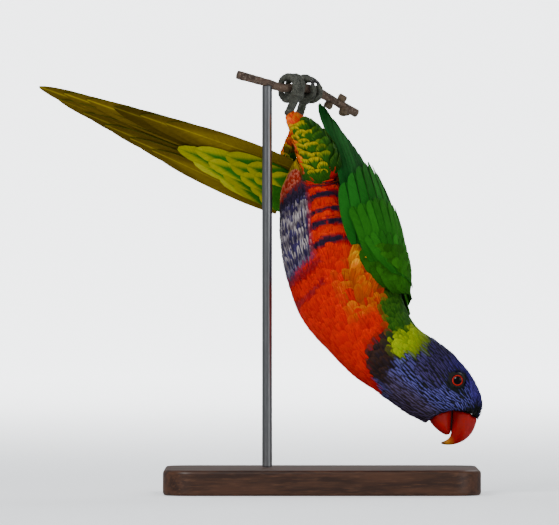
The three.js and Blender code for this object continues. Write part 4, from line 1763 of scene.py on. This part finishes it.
    def grow(self) -> None:
        """Grows the coat, zone by zone."""
        roots = self.candidates()
        roots = roots.picked(self.thinned(roots.places, self.growth.at(roots)[:, 0]))
        roots = roots.picked(self.open_to_air(roots))
        sizes = self.sizes(roots)
        ways = self.lie(roots)
        painted = roots.places + unit(ways) * (self.PAINTED * sizes[:, :1])
        paint = self.skin.paint(painted, barred=False)
        tips = self.skin.body.locate(roots.places + unit(ways) * sizes[:, :1])
        draws = self.draw.random(len(sizes))
        spots = self.patches(roots)
        streaks = Plumage("streaked_feathers", shaft_width=0.3, rim_start=0.8, root_shade=0.35, streaks=0.8)
        finish = {Kind.STREAK: streaks, Kind.BODY: Plumage("body_feathers")}
        materials = {kind: one.material() for kind, one in finish.items()}
        flats = {kind: kind.value.model() for kind in finish}
        for name, (chosen, kind) in self.zones(roots, paint.shaft_share > 0.5).items():
            if not chosen.any():
                continue
            flat = flats[kind]
            laid = self.lay(flat, roots.picked(chosen), ways[chosen], sizes[chosen])
            tints = paint.picked(chosen).spread(len(flat.points))
            if name.startswith(("belly", "rump")):
                ends = zip((roots.shares, roots.turns), tips)
                along = [
                    (start[chosen, None] + (end - start)[chosen, None] * flat.points[:, 1]).ravel()
                    for start, end in ends
                ]
                self.skin.markings.bar(tints, *along)
            slot = "head_feathers" if name.startswith("head") else "body_feathers"
            plot = Plot(flat, laid, spots[chosen], tints, draws[chosen])
            wear(Coat.piece(name, [plot]), materials[kind], slot)


# Wings and tail


@dataclass(frozen=True)
class Tier:
    """A tier of a wing's feathers: the near-back feather first, the lowest last.

    Roots and tips are pairs of a share along the guide and degrees round it.
    """

    count: int
    root: tuple[Pair, Pair]
    tip: tuple[Pair, Pair]
    width: float
    level: float
    lean: float
    kind: Kind
    look: Look
    bow: float = 0.02
    on_arm: bool = False


class Vanes:
    """Feathers whose places come from a guide of their own."""

    @staticmethod
    def varied(look: Look, count: int, draw: np.random.Generator, amount: float = 0.12) -> Paint:
        """Gives feathers one look with small differences of light.

        Args:
            look: Their colours.
            count: How many feathers there are.
            draw: Where the random draws come from.
            amount: The usual difference of light, as a share.

        Returns:
            Their colours, one row each.
        """
        paint = Paint.plain(look, count)
        light = 1 + amount * draw.standard_normal((count, 1)).clip(-2, 2)
        for tints in (paint.ground, paint.rim, paint.shaft):
            tints *= light
        return paint

    @staticmethod
    def cells(row: int, rows: int, count: int) -> tuple[Array, Pair]:
        """Gives a row of feathers its places on the closing map.

        Args:
            row: The row's number.
            rows: How many rows there are.
            count: How many feathers are in it.

        Returns:
            The middle of each feather's patch, and the size of the patches.
        """
        across = (np.arange(count) + 0.5) / count
        patch = np.column_stack([across, np.full(count, (row + 0.5) / rows)])
        return patch, (min(0.8 / count, 0.05), 0.8 / rows)


class Wing:
    """One folded wing: its arm, and tiers of flight feathers and coverts over it."""

    GREEN = Look((34, 98, 28), (13, 44, 12), (12, 38, 12), 0.85, 0.8)
    DARK = Look((26, 80, 30), (11, 30, 13), (9, 22, 10), 0.85, 0.9)
    COVERT = Look((40, 104, 24), (16, 52, 13), (16, 50, 12), 0.85, 0.6)
    SMALL = Look((40, 94, 17), (18, 54, 12), (20, 58, 12), 0.75, 0.3)
    UNDER = Look((52, 50, 46), (76, 72, 64), (34, 32, 30), 0.3, 0.5)

    TIERS = (
        Tier(9, ((0.30, 20), (0.24, -13)), ((0.62, 24), (0.87, -10)), 8.6, 0.9, 0.2, Kind.FLIGHT, DARK),
        Tier(9, ((0.16, 70), (0.18, -12)), ((0.50, 72), (0.42, -17)), 10.0, 2.6, 0.17, Kind.FLIGHT,
             GREEN, 0.1),
        Tier(10, ((0.09, 68), (0.10, 8)), ((0.34, 70), (0.31, -13)), 9.0, 3.7, 0.16, Kind.COVERT,
             COVERT, 0.03),
        Tier(9, ((0.03, 66), (0.05, 34)), ((0.21, 68), (0.20, -3)), 9.0, 4.1, 0.14, Kind.COVERT, COVERT),
        Tier(10, ((0.03, 72), (0.07, 10)), ((0.160, 76), (0.165, -5)), 7.6, 0.3, 0.05, Kind.BODY,
             SMALL, 0.01, True),
        Tier(10, ((0.02, 72), (0.05, 14)), ((0.120, 76), (0.128, 0)), 7.2, 0.45, 0.05, Kind.BODY,
             SMALL, 0.01, True),
        Tier(9, ((0.0, 72), (0.02, 22)), ((0.085, 75), (0.095, 8)), 6.6, 0.6, 0.05, Kind.BODY,
             SMALL, 0.01, True),
        Tier(8, ((-0.02, 70), (0.0, 34)), ((0.050, 73), (0.062, 22)), 6.0, 0.7, 0.05, Kind.BODY,
             SMALL, 0.01, True),
    )
    ARM_SHARES = (0.02, 0.05, 0.1, 0.16, 0.22, 0.28, 0.34)
    ARM_LOW = (44, 32, 14, -4, -14, -16, -17)
    ARM_HIGH = (74, 77, 79, 79, 78, 78, 77)
    ARM_TOP = (2.0, 3.8, 4.8, 4.4, 3.5, 2.5, 1.4)
    ARM_THICK = 2.2

    def __init__(self, side: Side) -> None:
        """Prepares a wing for one side of the bird.

        Args:
            side: The side.
        """
        self.side = side
        self.shape = WingShape(side)
        self.draw = np.random.default_rng(40 + side.value)

    def arm_edges(self, shares: Array) -> list[Array]:
        """Gives the degrees of the arm's lower and upper edge, and its height."""
        rows = (self.ARM_LOW, self.ARM_HIGH, self.ARM_TOP)
        return [np.interp(shares, self.ARM_SHARES, row) for row in rows]

    def arm_height(self, shares: Array, turns: Array) -> Array:
        """Gives the height of the arm's rounded top over the guide.

        Args:
            shares: Shares of the wing's length.
            turns: Degrees round the guide.

        Returns:
            The heights.
        """
        low, high, top = self.arm_edges(shares)
        across = np.clip((turns - low) / (high - low), 0, 1)
        return top * np.sqrt(np.maximum(1 - np.abs(2 * across - 1) ** 4, 0))

    def arm(self) -> Piece:
        """Models the arm: a plate that bulges over the guide.

        Returns:
            The arm's piece.
        """
        Bench.clear()
        bpy.ops.mesh.primitive_grid_add(x_subdivisions=22, y_subdivisions=26, size=1)
        piece = Bench.made(f"wing_{self.side.tag}_arm")
        grid = Bench.points(piece) + 0.5
        shares = self.ARM_SHARES[0] + (self.ARM_SHARES[-1] - self.ARM_SHARES[0]) * grid[:, 1]
        low, high, _ = self.arm_edges(shares)
        turns = low + (high - low) * grid[:, 0]
        top = self.shape.place(shares, turns, self.arm_height(shares, turns) - 0.1)
        piece.data.vertices.foreach_set("co", (top * MM).ravel())
        Bench.modify(piece, "SOLIDIFY", thickness=self.ARM_THICK * MM, offset=float(self.side.value))
        return Bench.settle(Bench.face_out(piece), 60)

    def tier(self, row: int, tier: Tier, flat: FlatFeather) -> Plot:
        """Lays one tier.

        Args:
            row: The tier's row on the closing map.
            tier: The tier.
            flat: Its kind of feather.

        Returns:
            The tier's feathers.
        """
        count = round(tier.count * (1 + self.shape.spread) / 2)
        order = np.arange(count) / (count - 1)
        noise = self.draw.standard_normal((3, count)).clip(-2, 2)
        root = [tier.root[0][i] + (tier.root[1][i] - tier.root[0][i]) * order for i in (0, 1)]
        tip = [tier.tip[0][i] + (tier.tip[1][i] - tier.tip[0][i]) * order for i in (0, 1)]
        tip[0] = tip[0] + tier.bow * np.sin(math.pi * order) + 0.005 * noise[0]
        tip[1] = tip[1] + 0.7 * noise[1]
        x, y, z = flat.points.T
        along = root[0][:, None] + (tip[0] - root[0])[:, None] * y[None]
        across = tier.width * (1 + 0.04 * noise[2])[:, None] * x[None]
        turns = root[1][:, None] + (tip[1] - root[1])[:, None] * y[None]
        shares = np.clip(along, 0, 1)
        turns = turns - self.shape.turn(shares, across)
        height = tier.level + tier.lean * across + z[None] * tier.width
        if tier.on_arm:
            height = height + self.arm_height(shares, turns) + 0.7 * y[None]
        places = self.shape.place(shares.ravel(), turns.ravel(), height.ravel())
        short = (along - shares).ravel()[:, None] * 60
        places = places + self.shape.middle.along(np.zeros(1)) * np.minimum(short, 0)
        patch, cell = Vanes.cells(row, len(self.TIERS), count)
        paint = Vanes.varied(tier.look, count, self.draw)
        under = Vanes.varied(self.UNDER, count, self.draw) if tier.kind is Kind.FLIGHT else None
        places = places.reshape(count, -1, 3)
        return Plot(flat, places, patch, paint, self.draw.random(count), under, cell)

    def build(self, flats: dict[Kind, FlatFeather], material: Material) -> None:
        """Makes the wing.

        Args:
            flats: The modelled feathers by kind.
            material: The vanes' finish.
        """
        arm = self.arm()
        Bench.tint(arm.data, Coat.GROUND, Paint.plain(self.SMALL, len(arm.data.vertices)).ground)
        # The arm's finish darkens the small coverts' green as painted shade under the coat.
        wear(arm, Hide("wing_hide").material(), "wing_feathers")
        plots = [self.tier(row, tier, flats[tier.kind]) for row, tier in enumerate(self.TIERS)]
        name = f"wing_{self.side.tag}"
        wear(Coat.piece(f"{name}_vanes", plots), material, "wing_feathers", name)


@dataclass(frozen=True)
class TailTier:
    """A fan of tail coverts over or under the tail's root."""

    count: int
    spread: float
    root: float
    tip: Pair
    level: float
    lean: float
    width: float
    look: Look


class Tail:
    """The graded tail feathers and their coverts."""

    GRADES = (1, 0.91, 0.815, 0.715, 0.615, 0.52)
    WEDGE = (18, 1.45)
    WIDTH = 11.8
    LEVEL = 1.5
    LEAN = 0.14
    PITCH = 2.2
    DROP = 0.62
    TOP = Look((30, 85, 17), (46, 100, 24), (18, 52, 14), 0.5, 0.7)
    UNDER = Look((96, 80, 10), (38, 24, 9), (122, 106, 18), 0.92, 0.7)
    UNDER_COVERT = Look((34, 90, 16), (141, 137, 22), (24, 70, 14), 0.9, 0.2)
    TOP_COVERT = Look((34, 82, 18), (52, 102, 26), (20, 56, 14), 0.6, 0.3)
    TIERS = (
        TailTier(5, 8.2, 0, (36, 60), -3.2, -0.13, 9.6, UNDER_COVERT),
        TailTier(5, 7.8, -3, (24, 43), -4.0, -0.13, 9.4, UNDER_COVERT),
        TailTier(5, 7.2, -5, (12, 27), -4.7, -0.13, 9.0, UNDER_COVERT),
        TailTier(5, 6.4, -2, (26, 42), 3.2, 0.13, 8.6, TOP_COVERT),
        TailTier(5, 6.0, -4, (12, 26), 4.0, 0.13, 8.2, TOP_COVERT),
    )
    ROWS = 1 + len(TIERS)

    def __init__(self) -> None:
        """Prepares the tail."""
        self.shape = TailShape()
        self.draw = np.random.default_rng(60)

    def feathers(self, flat: FlatFeather) -> Plot:
        """Lays the twelve tail feathers, the outer pairs shorter and lower.

        Args:
            flat: The modelled feather.

        Returns:
            The feathers.
        """
        x, y, z = flat.points.T
        places = []
        for pair, grade in enumerate(self.GRADES):
            for side in (1, -1):
                rooted = side * self.PITCH * (pair + 0.9)
                tipped = side * (0.75 * self.WEDGE[0] * (1 - grade ** self.WEDGE[1]) + 0.6)
                over = 1.5 * self.DROP if pair == 0 and side > 0 else 0.0
                level = self.LEVEL - self.DROP * pair + over
                length = grade * self.shape.length * (1 + 0.005 * self.draw.standard_normal())
                across = x * self.WIDTH
                left = rooted + (tipped - rooted) * y + side * across
                height = level + self.LEAN * across + z * self.WIDTH
                places.append(self.shape.place(y * length, left, height))
        count = len(places)
        patch, cell = Vanes.cells(0, self.ROWS, count)
        return Plot(
            flat, np.array(places), patch, Vanes.varied(self.TOP, count, self.draw),
            self.draw.random(count), Vanes.varied(self.UNDER, count, self.draw, 0.16), cell
        )

    def coverts(self, row: int, tier: TailTier, flat: FlatFeather) -> Plot:
        """Lays one fan of coverts.

        Args:
            row: The fan's row on the closing map.
            tier: The fan.
            flat: The modelled feather.

        Returns:
            The feathers.
        """
        x, y, z = flat.points.T
        places = []
        face = 1 if tier.level > 0 else -1
        for number in range(tier.count):
            order = 2 * number / (tier.count - 1) - 1
            length = tier.tip[1] + (tier.tip[0] - tier.tip[1]) * abs(order)
            length *= 1 + 0.05 * self.draw.standard_normal()
            across = x * tier.width
            left = order * tier.spread * (1 - 0.2 * y) + across
            height = tier.level + tier.lean * across + face * z * tier.width
            places.append(self.shape.place(tier.root + (length - tier.root) * y, left, height))
        patch, cell = Vanes.cells(row, self.ROWS, tier.count)
        paint = Vanes.varied(tier.look, tier.count, self.draw)
        return Plot(flat, np.array(places), patch, paint, self.draw.random(tier.count), None, cell)

    def build(self, flats: dict[Kind, FlatFeather], material: Material) -> None:
        """Makes the tail.

        Args:
            flats: The modelled feathers by kind.
            material: The vanes' finish.
        """
        plots = [self.feathers(flats[Kind.TAIL])]
        plots += [self.coverts(row, tier, flats[Kind.COVERT]) for row, tier in enumerate(self.TIERS, 1)]
        wear(Coat.piece("tail_vanes", plots), material, "tail_feathers", "tail")


# Bill and eyes


class Bill:
    """The two halves of the bill, smoothed from the solids."""

    HOOK = (57.6, HEAD_Y, 24.2)
    GAPE = (61.5, HEAD_Y, 35.6)
    TONGUE_AND_SHADE = (0.9, 2.4, 6.4)
    SWELL = 0.26

    def build(self) -> None:
        """Makes both halves."""
        upper = Horn(
            "upper_horn", (152, 9, 4), (176, 110, 8), (108, 6, 4), self.HOOK, (2.2, 6.5)
        )
        lower = Horn(
            "lower_horn", (160, 13, 5), (146, 13, 5), (120, 8, 4), self.HOOK, (0.1, 0.2)
        )
        for node, finish in (("upper_bill", upper), ("lower_bill", lower)):
            piece = Bench.node_copy(node)
            piece.name = f"{node}_horn"
            with Bench.edit(piece):
                bpy.ops.mesh.tris_convert_to_quads()
            Bench.modify(piece, "SUBSURF", levels=2, render_levels=2)
            Bench.modify(piece, "DISPLACE", strength=self.SWELL * MM, mid_level=0.0)
            Bench.settle(piece, 60)
            wear(piece, finish.material(), "bill", node)
        self.tongue_and_shade()

    def tongue_and_shade(self) -> None:
        """Makes the piece that closes the gape between the halves, dark as painted shade inside the mouth.
        """
        Bench.clear()
        centre = Vector(self.GAPE) * MM
        bpy.ops.mesh.primitive_uv_sphere_add(segments=24, ring_count=16, radius=MM, location=centre)
        piece = Bench.made("tongue_and_shade")
        with Bench.edit(piece):
            bpy.ops.transform.resize(value=self.TONGUE_AND_SHADE, center_override=centre)
        # Painted shade: its dark colours stand for the shade inside the gape.
        flesh = Mottled(
            "tongue_and_shade", (44, 18, 16), (30, 14, 14), (60, 26, 22), 900, (1, 1, 1), 0.6, 0.05
        )
        wear(Bench.settle(piece, 180), flesh.material(), "bill")


@dataclass(frozen=True)
class Eye:
    """An eye: its ball and the bare lids round it."""

    side: Side
    out: float = 8.7
    radius: float = 3.8805
    lid: float = 3.1
    lid_thick: float = 0.38
    lid_out: float = 11.5

    def build(self, gloss: Material, bare: Material) -> None:
        """Makes the eye.

        Args:
            gloss: The ball's finish.
            bare: The lids' finish.
        """
        sideways = (math.pi / 2, 0, 0)
        centre, place = (
            Vector((EYE_X, HEAD_Y + self.side.value * out, EYE_Z)) * MM for out in (self.out, self.lid_out)
        )
        Bench.clear()
        bpy.ops.mesh.primitive_uv_sphere_add(
            segments=48, ring_count=32, radius=self.radius * MM, location=centre, rotation=sideways
        )
        ball = Bench.settle(Bench.made(f"eyeball_{self.side.tag}"), 180)
        wear(ball, gloss, "eye", f"eye_{self.side.tag}")
        Bench.clear()
        bpy.ops.mesh.primitive_torus_add(
            major_radius=self.lid * MM, minor_radius=self.lid_thick * MM, major_segments=64,
            minor_segments=14, location=place, rotation=sideways
        )
        lids = Bench.settle(Bench.made(f"lids_{self.side.tag}"), 180)
        Bench.roughen(lids, "CLOUDS", 0.6, 0.3, 0.5)
        wear(lids, bare, "eye")


# Feet, branch and stand


class Branch:
    """The cut branch that the bird hangs from, with its seed capsules."""

    STOPS = (
        (-40, -9, 199), (-28, -4, 195.8), (-18.3, 2.5, 193), (-9.5, 13, 193.4), (-2, 24, 191.5),
        (6, 33, 187.5), (17, 41, 181.5),
    )
    CAPSULES = ((0.8, 250), (0.86, 60), (0.9, 200), (0.955, 300))
    CAPSULE = (2.3, 3.6)
    RADIUS = 2.1
    FINE = 1201

    def __init__(self) -> None:
        """Measures the branch's route by its length."""
        self.route = Route(np.array(self.STOPS, float))
        fine = self.route.at(np.linspace(0, 1, self.FINE))
        length = np.concatenate([[0], np.cumsum(np.linalg.norm(np.diff(fine, axis=0), axis=1))])
        self.reached = length / length[-1]

    def middle(self, shares: Array | float) -> Array:
        """Gives places of the middle line at shares of its length."""
        return self.route.at(np.interp(shares, self.reached, np.linspace(0, 1, self.FINE)))

    def along(self, share: float) -> Array:
        """Gives the branch's direction at a share of its length."""
        return unit(self.middle(min(share + 0.01, 1)) - self.middle(max(share - 0.01, 0)))

    @classmethod
    def radius(cls, shares: Array) -> Array:
        """Gives the branch's radius: a ripple, and a knot beyond the feet."""
        ripple = 0.12 * np.sin(47 * shares) * np.sin(19 * shares + 1)
        return cls.RADIUS + ripple + 0.5 * np.exp(-(((shares - 0.62) / 0.08) ** 2))

    def stem(self) -> Piece:
        """Models the stem with its bark.

        Returns:
            The stem's piece.
        """
        shares = np.linspace(0, 1, 170)
        stem = Bench.tube("branch_stem", self.middle(shares), self.radius(shares), 7)
        Bench.modify(stem, "BEVEL", width=0.25 * MM, segments=2, limit_method="ANGLE")
        Bench.roughen(stem, "CLOUDS", 2.2, 0.4, 0.75, 3)
        return Bench.settle(stem, 50)

    def capsules(self) -> Piece:
        """Models one seed capsule and sets copies of it on the stem.

        Returns:
            The capsules' piece.
        """
        radius, height = self.CAPSULE
        profile = (
            (0.3, 0.0), (0.62 * radius, 0.06 * height), (0.9 * radius, 0.25 * height),
            (radius, 0.5 * height), (0.96 * radius, 0.78 * height), (0.86 * radius, 0.93 * height),
            (0.7 * radius, height), (0.55 * radius, 0.97 * height), (0.44 * radius, 0.8 * height),
            (0.3, 0.72 * height),
        )
        model = Bench.turned("capsule", profile, 24)
        pieces = []
        for share, turn in self.CAPSULES:
            along = Vector(self.along(share))
            out = along.orthogonal().normalized()
            out.rotate(Quaternion(along, math.radians(turn)))
            copy = Bench.adopt("capsule_copy", model.data.copy())
            copy.rotation_euler = out.to_track_quat("Z", "Y").to_euler()
            copy.location = (Vector(self.middle(share)) + out * 0.55 * self.RADIUS) * MM
            pieces.append(copy)
        bpy.data.objects.remove(model)
        joined = Bench.settle(Bench.join(pieces, "seed_capsules"), 50)
        Bench.roughen(joined, "CLOUDS", 1.2, 0.15, 0.8)
        return joined

    def build(self) -> None:
        """Makes the branch and its capsules."""
        bark = Mottled(
            "bark", (92, 72, 58), (58, 42, 32), (142, 128, 112), 240, (1, 1, 1), 0.85, 0.35
        )
        pod = Mottled(
            "pod", (96, 78, 58), (66, 50, 36), (136, 120, 96), 420, (1, 1, 1), 0.8, 0.25
        )
        wear(self.stem(), bark.material(), "bark", "perch")
        wear(self.capsules(), pod.material(), "bark")


@dataclass(frozen=True)
class Toe:
    """A toe: the degrees it runs round the branch, its shift along it, thickness and scutes."""

    start: float
    end: float
    shift: float
    thick: float
    scutes: int


class Foot:
    """One foot: bare shank, palm, four scaled toes and their claws."""

    TOES = (
        Toe(8, 205, -2.6, 2.2, 12),
        Toe(8, 190, 2.4, 2.1, 11),
        Toe(-8, -128, -2.9, 2.0, 8),
        Toe(-8, -142, 2.7, 2.1, 9),
    )
    GRIP = Branch.RADIUS + 0.3
    PATH = 0.92
    ARCH = 1.3
    PALM = 3.5
    SHANK = 2.0
    CLAW_TURN = 58

    def __init__(self, leg: Leg, branch: Branch) -> None:
        """Sets the foot on the branch.

        Args:
            leg: The leg that it ends.
            branch: The branch that it holds.
        """
        self.leg = leg
        self.middle = branch.middle(leg.hold)
        self.along = branch.along(leg.hold)
        out = np.array(leg.palm) - self.middle
        self.out = unit(out - self.along * (out @ self.along))
        around = unit(np.cross(self.along, self.out))
        self.around = around if around[2] >= 0 else -around

    def ring(self, degrees: Array, shift: Array, distance: Array) -> Array:
        """Finds places round the branch.

        Args:
            degrees: Degrees round it, 0 on the palm's side.
            shift: Distances along it.
            distance: Distances from its middle line.

        Returns:
            The places, one row each.
        """
        angle = np.radians(degrees)[:, None]
        outward = self.out * np.cos(angle) + self.around * np.sin(angle)
        return self.middle + outward * distance[:, None] + self.along * shift[:, None]

    def toe(self, toe: Toe) -> Piece:
        """Models one toe, with a step at each scute.

        Args:
            toe: The toe's measures.

        Returns:
            The toe's piece.
        """
        share = np.linspace(0.01, 0.99, toe.scutes * 5 + 1)
        part = (share * toe.scutes) % 1
        knuckle = 1 + 0.09 * np.sin(share * math.pi * 3) ** 2
        radius = toe.thick * (1 - 0.28 * share) * (1 - 0.13 * part**1.6) * knuckle * 0.97
        radius[0] *= 0.7
        radius[-1] *= 0.72
        arch = self.ARCH * np.sin(math.pi * np.minimum(share * 1.1, 1))
        distance = self.GRIP + self.PATH * toe.thick + arch
        degrees = toe.start + (toe.end - toe.start) * share
        path = self.ring(degrees, toe.shift * (0.7 + 0.3 * share), distance)
        return Bench.tube("toe", path, radius, 4)

    def claw(self, toe: Toe) -> Piece:
        """Models one claw.

        Args:
            toe: The toe that it ends.

        Returns:
            The claw's piece.
        """
        share = np.linspace(0, 1, 16)
        turn = math.copysign(self.CLAW_TURN, toe.end)
        degrees = toe.end - 0.22 * turn + turn * 1.07 * share
        distance = self.GRIP + self.PATH * toe.thick + 0.5 * np.sin(math.pi * share) - 0.5 * share**2
        radius = np.maximum(1.08 * (1 - share**1.5), 0.1)
        return Bench.tube("claw", self.ring(degrees, np.full(16, toe.shift), distance), radius, 4)

    def build(self, scaled: Material, horn: Material) -> None:
        """Makes the foot.

        Args:
            scaled: The skin's finish.
            horn: The claws' finish.
        """
        ankle = self.leg.route.at(1.0)
        palm = self.middle + self.out * (self.GRIP + 0.72 * self.PALM)
        share = np.linspace(0, 1, 26)[:, None]
        part = (share[:, 0] * 6) % 1
        shank = Bench.tube("shank", ankle + (palm - ankle) * share, self.SHANK * (1.1 - 0.12 * part), 4)
        Bench.clear()
        bpy.ops.mesh.primitive_ico_sphere_add(
            subdivisions=4, radius=self.PALM * 0.97 * MM, location=Vector(palm) * MM
        )
        pad = bpy.context.object
        side = self.leg.side.tag
        foot = Bench.join([shank, pad, *(self.toe(toe) for toe in self.TOES)], f"foot_{side}_skin")
        Bench.settle(foot, 180)
        Bench.modify(foot, "REMESH", mode="VOXEL", voxel_size=0.24 * MM)
        Bench.roughen(foot, "VORONOI", 0.9, -0.22, 0.3)
        Bench.settle(foot, 70)
        wear(foot, scaled, "foot", f"foot_{side}")
        claws = Bench.join([self.claw(toe) for toe in self.TOES], f"claws_{side}")
        wear(Bench.settle(claws, 70), horn, "foot")


class Stand:
    """The plain display stand: a wooden base and a steel rod up to the branch."""

    SIZE = (150, 110, 12)
    CORNER = 14
    CHAMFER = 1.5

    def base(self) -> Piece:
        """Models the base, with rounded corners and a softened edge.

        Returns:
            The base's piece.
        """
        Bench.clear()
        length, depth, height = (value * MM for value in self.SIZE)
        bpy.ops.mesh.primitive_cube_add(size=1, location=(0, 0, height / 2))
        piece = Bench.made("base_board")
        with Bench.edit(piece):
            bpy.ops.transform.resize(value=(length, depth, height), center_override=(0, 0, height / 2))
            bpy.ops.mesh.select_mode(type="EDGE")
            bpy.ops.mesh.select_all(action="DESELECT")
        for edge in piece.data.edges:
            first, second = (piece.data.vertices[index].co for index in edge.vertices)
            edge.select = abs(first.z - second.z) > height / 2
        bpy.ops.object.mode_set(mode="EDIT")
        bpy.ops.mesh.bevel(offset=self.CORNER * MM, segments=12, affect="EDGES")
        bpy.ops.object.mode_set(mode="OBJECT")
        Bench.settle(piece, 30)
        Bench.modify(piece, "BEVEL", width=self.CHAMFER * MM, segments=4, limit_method="ANGLE")
        return Bench.settle(piece, 30)

    def rod(self) -> Piece:
        """Models the rod, narrowed a little at each end.

        Returns:
            The rod's piece.
        """
        low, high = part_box("stand_rod")
        radius = (high[0] - low[0]) / 2 / MM
        top, foot = high[2] / MM, low[2] / MM
        profile = (
            (radius * 0.6, foot), (radius, foot + 0.5), (radius, top - 0.5), (radius * 0.8, top),
        )
        piece = Bench.turned("rod_steel", profile, 48)
        piece.location = ((low[0] + high[0]) / 2, (low[1] + high[1]) / 2, 0)
        return Bench.settle(piece, 30)

    def build(self) -> None:
        """Makes the stand."""
        wood = Mottled(
            "stand_wood", (74, 44, 26), (48, 27, 16), (98, 62, 38), 60,
            (0.35, 4, 4), 0.4, 0.06
        )
        steel = Mottled(
            "stand_steel", (150, 152, 154), (128, 130, 133), (172, 174, 176), 900,
            (3, 3, 0.08), 0.34, 0.02, (0.3, 0.7), 1.0
        )
        wear(self.base(), wood.material(), "stand_wood", "stand_base")
        wear(self.rod(), steel.material(), "stand_steel", "stand_rod")


# Studio


@dataclass(frozen=True)
class Lamp:
    """A soft square light that looks at the bird."""

    name: str
    place: Spot
    size: float
    power: float


class Studio:
    """The pale sweep, which glows as painted light, the lights and the camera."""

    LAMPS = (
        Lamp("key", (-1.1, -1.7, 1.3), 0.8, 29),
        Lamp("fill", (1.6, -1.5, 0.6), 1.2, 8),
        Lamp("rim", (0.6, 1.2, 1.3), 0.9, 7),
    )
    EYE = (-0.020, -4.0, 0.10976)
    WIDE = 559 / 2.1
    TARGET = Vector((-0.02, 0, 0.11))
    BEND = 1.5
    BEND_STEPS = 12
    WALL = 5

    def build(self) -> None:
        """Makes the sweep, the lights and the camera."""
        self.sweep()
        for lamp in self.LAMPS:
            light = bpy.data.lights.new(lamp.name, "AREA")
            light.size = lamp.size
            light.energy = lamp.power
            holder = Bench.adopt(lamp.name, light)
            holder.location = lamp.place
            holder.rotation_euler = (self.TARGET - Vector(lamp.place)).to_track_quat("-Z", "Y").to_euler()
        world = bpy.data.worlds.new("studio")
        world.use_nodes = True
        background = world.node_tree.nodes["Background"]
        background.inputs["Color"].default_value = (*colour(236, 240, 244), 1)
        background.inputs["Strength"].default_value = 0.3
        bpy.context.scene.world = world
        lens = bpy.data.cameras.new("camera")
        lens.sensor_width = 36
        lens.lens = 36 * -self.EYE[1] / MM / self.WIDE
        lens.clip_start = 0.01
        camera = Bench.adopt("camera", lens)
        camera.location = self.EYE
        camera.rotation_euler = (math.pi / 2, 0, 0)
        bpy.context.scene.camera = camera

    @classmethod
    def sweep(cls) -> None:
        """Makes the pale floor, which curves up into a wall far behind the stand and glows as painted
        light, dim at the front and bright behind.
        """
        Bench.clear()
        bpy.ops.mesh.primitive_plane_add(size=12, location=(0, -2, 0))
        floor = Bench.settle(Bench.made("sweep"))
        Bench.pick(floor, np.array([vertex.co.y > 0 for vertex in floor.data.vertices]))
        angles = np.radians(np.linspace(0, 90, cls.BEND_STEPS + 1))
        curve = cls.BEND * np.column_stack([np.sin(angles), 1 - np.cos(angles)])
        for reach, rise in (*np.diff(curve, axis=0), (0, cls.WALL)):
            bpy.ops.mesh.extrude_region_move(TRANSFORM_OT_translate={"value": (0, reach, rise)})
        bpy.ops.object.mode_set(mode="OBJECT")
        Bench.settle(floor)
        shader = Shader("sweep")
        cloud = shader.noise(shader.place(), 3.0, 2.0)
        shader.set("Base Color", shader.mix(cloud, colour(240, 243, 246), colour(246, 248, 250)))
        # Painted light: the sweep glows, dim near the front and bright towards the wall.
        _, depth, _ = shader.split(shader.place())
        glow = shader.mix(depth.rise(0.2, 3.0), (0.17, 0.175, 0.18), (0.97, 0.985, 1.0))
        shader.set("Emission Color", glow)
        shader.set("Emission Strength", 3.0)
        shader.set("Roughness", 0.9)
        shader.set("Specular IOR Level", 0.1)
        floor.data.materials.append(shader.material)
        floor.visible_glossy = False


def main() -> None:
    """Builds the model and its studio."""
    logging.basicConfig(level=logging.INFO, format="%(message)s")
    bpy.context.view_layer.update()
    Studio().build()
    body = BodyShape()
    skin = Skin(body, Markings())
    BodyCoat(skin).grow()
    skin.dress()
    flats = {kind: kind.value.model() for kind in (Kind.BODY, Kind.COVERT, Kind.FLIGHT, Kind.TAIL)}
    wing = Plumage(
        "wing_vanes", gains=(0.35, 0.75), rim_start=0.86, rim_blur=0.14, shaft_width=0.05,
        shaft_fade=(1.4, 1.0), barbs=(60.0, 9.0), streaks=0.9, root_shade=0.35, fray=0.1, roughness=0.6,
        relief=0.04, gloss=0.01,
    )
    tail = replace(
        wing, name="tail_vanes", gains=(0.95, 0.42), rim_start=0.76, rim_blur=0.22, barbs=(90.0, 9.0),
        streaks=0.8, root_shade=0.2, fray=0.12, uneven=0.2,
    )
    vanes, quills = wing.material(), tail.material()
    for side in Side:
        Wing(side).build(flats, vanes)
    Tail().build(flats, quills)
    Bill().build()
    bare = Mottled(
        "bare_skin", (16, 17, 18), (11, 11, 12), (30, 31, 33), 900, (1, 1, 1), 0.85, 0.1
    ).material()
    gloss = EyeGloss("eye_gloss").material()
    for side in Side:
        Eye(side).build(gloss, bare)
    branch = Branch()
    branch.build()
    scaled = Mottled(
        "foot_skin", (60, 64, 54), (38, 42, 34), (150, 142, 128), 700, (1, 1, 1), 0.6, 0.15
    ).material()
    horn = Mottled(
        "claw_horn", (34, 32, 32), (20, 19, 20), (62, 58, 54), 500, (1, 1, 1), 0.35, 0.05
    ).material()
    for leg in LEGS:
        Foot(leg, branch).build(scaled, horn)
    Stand().build()


if __name__ == "__main__":
    main()
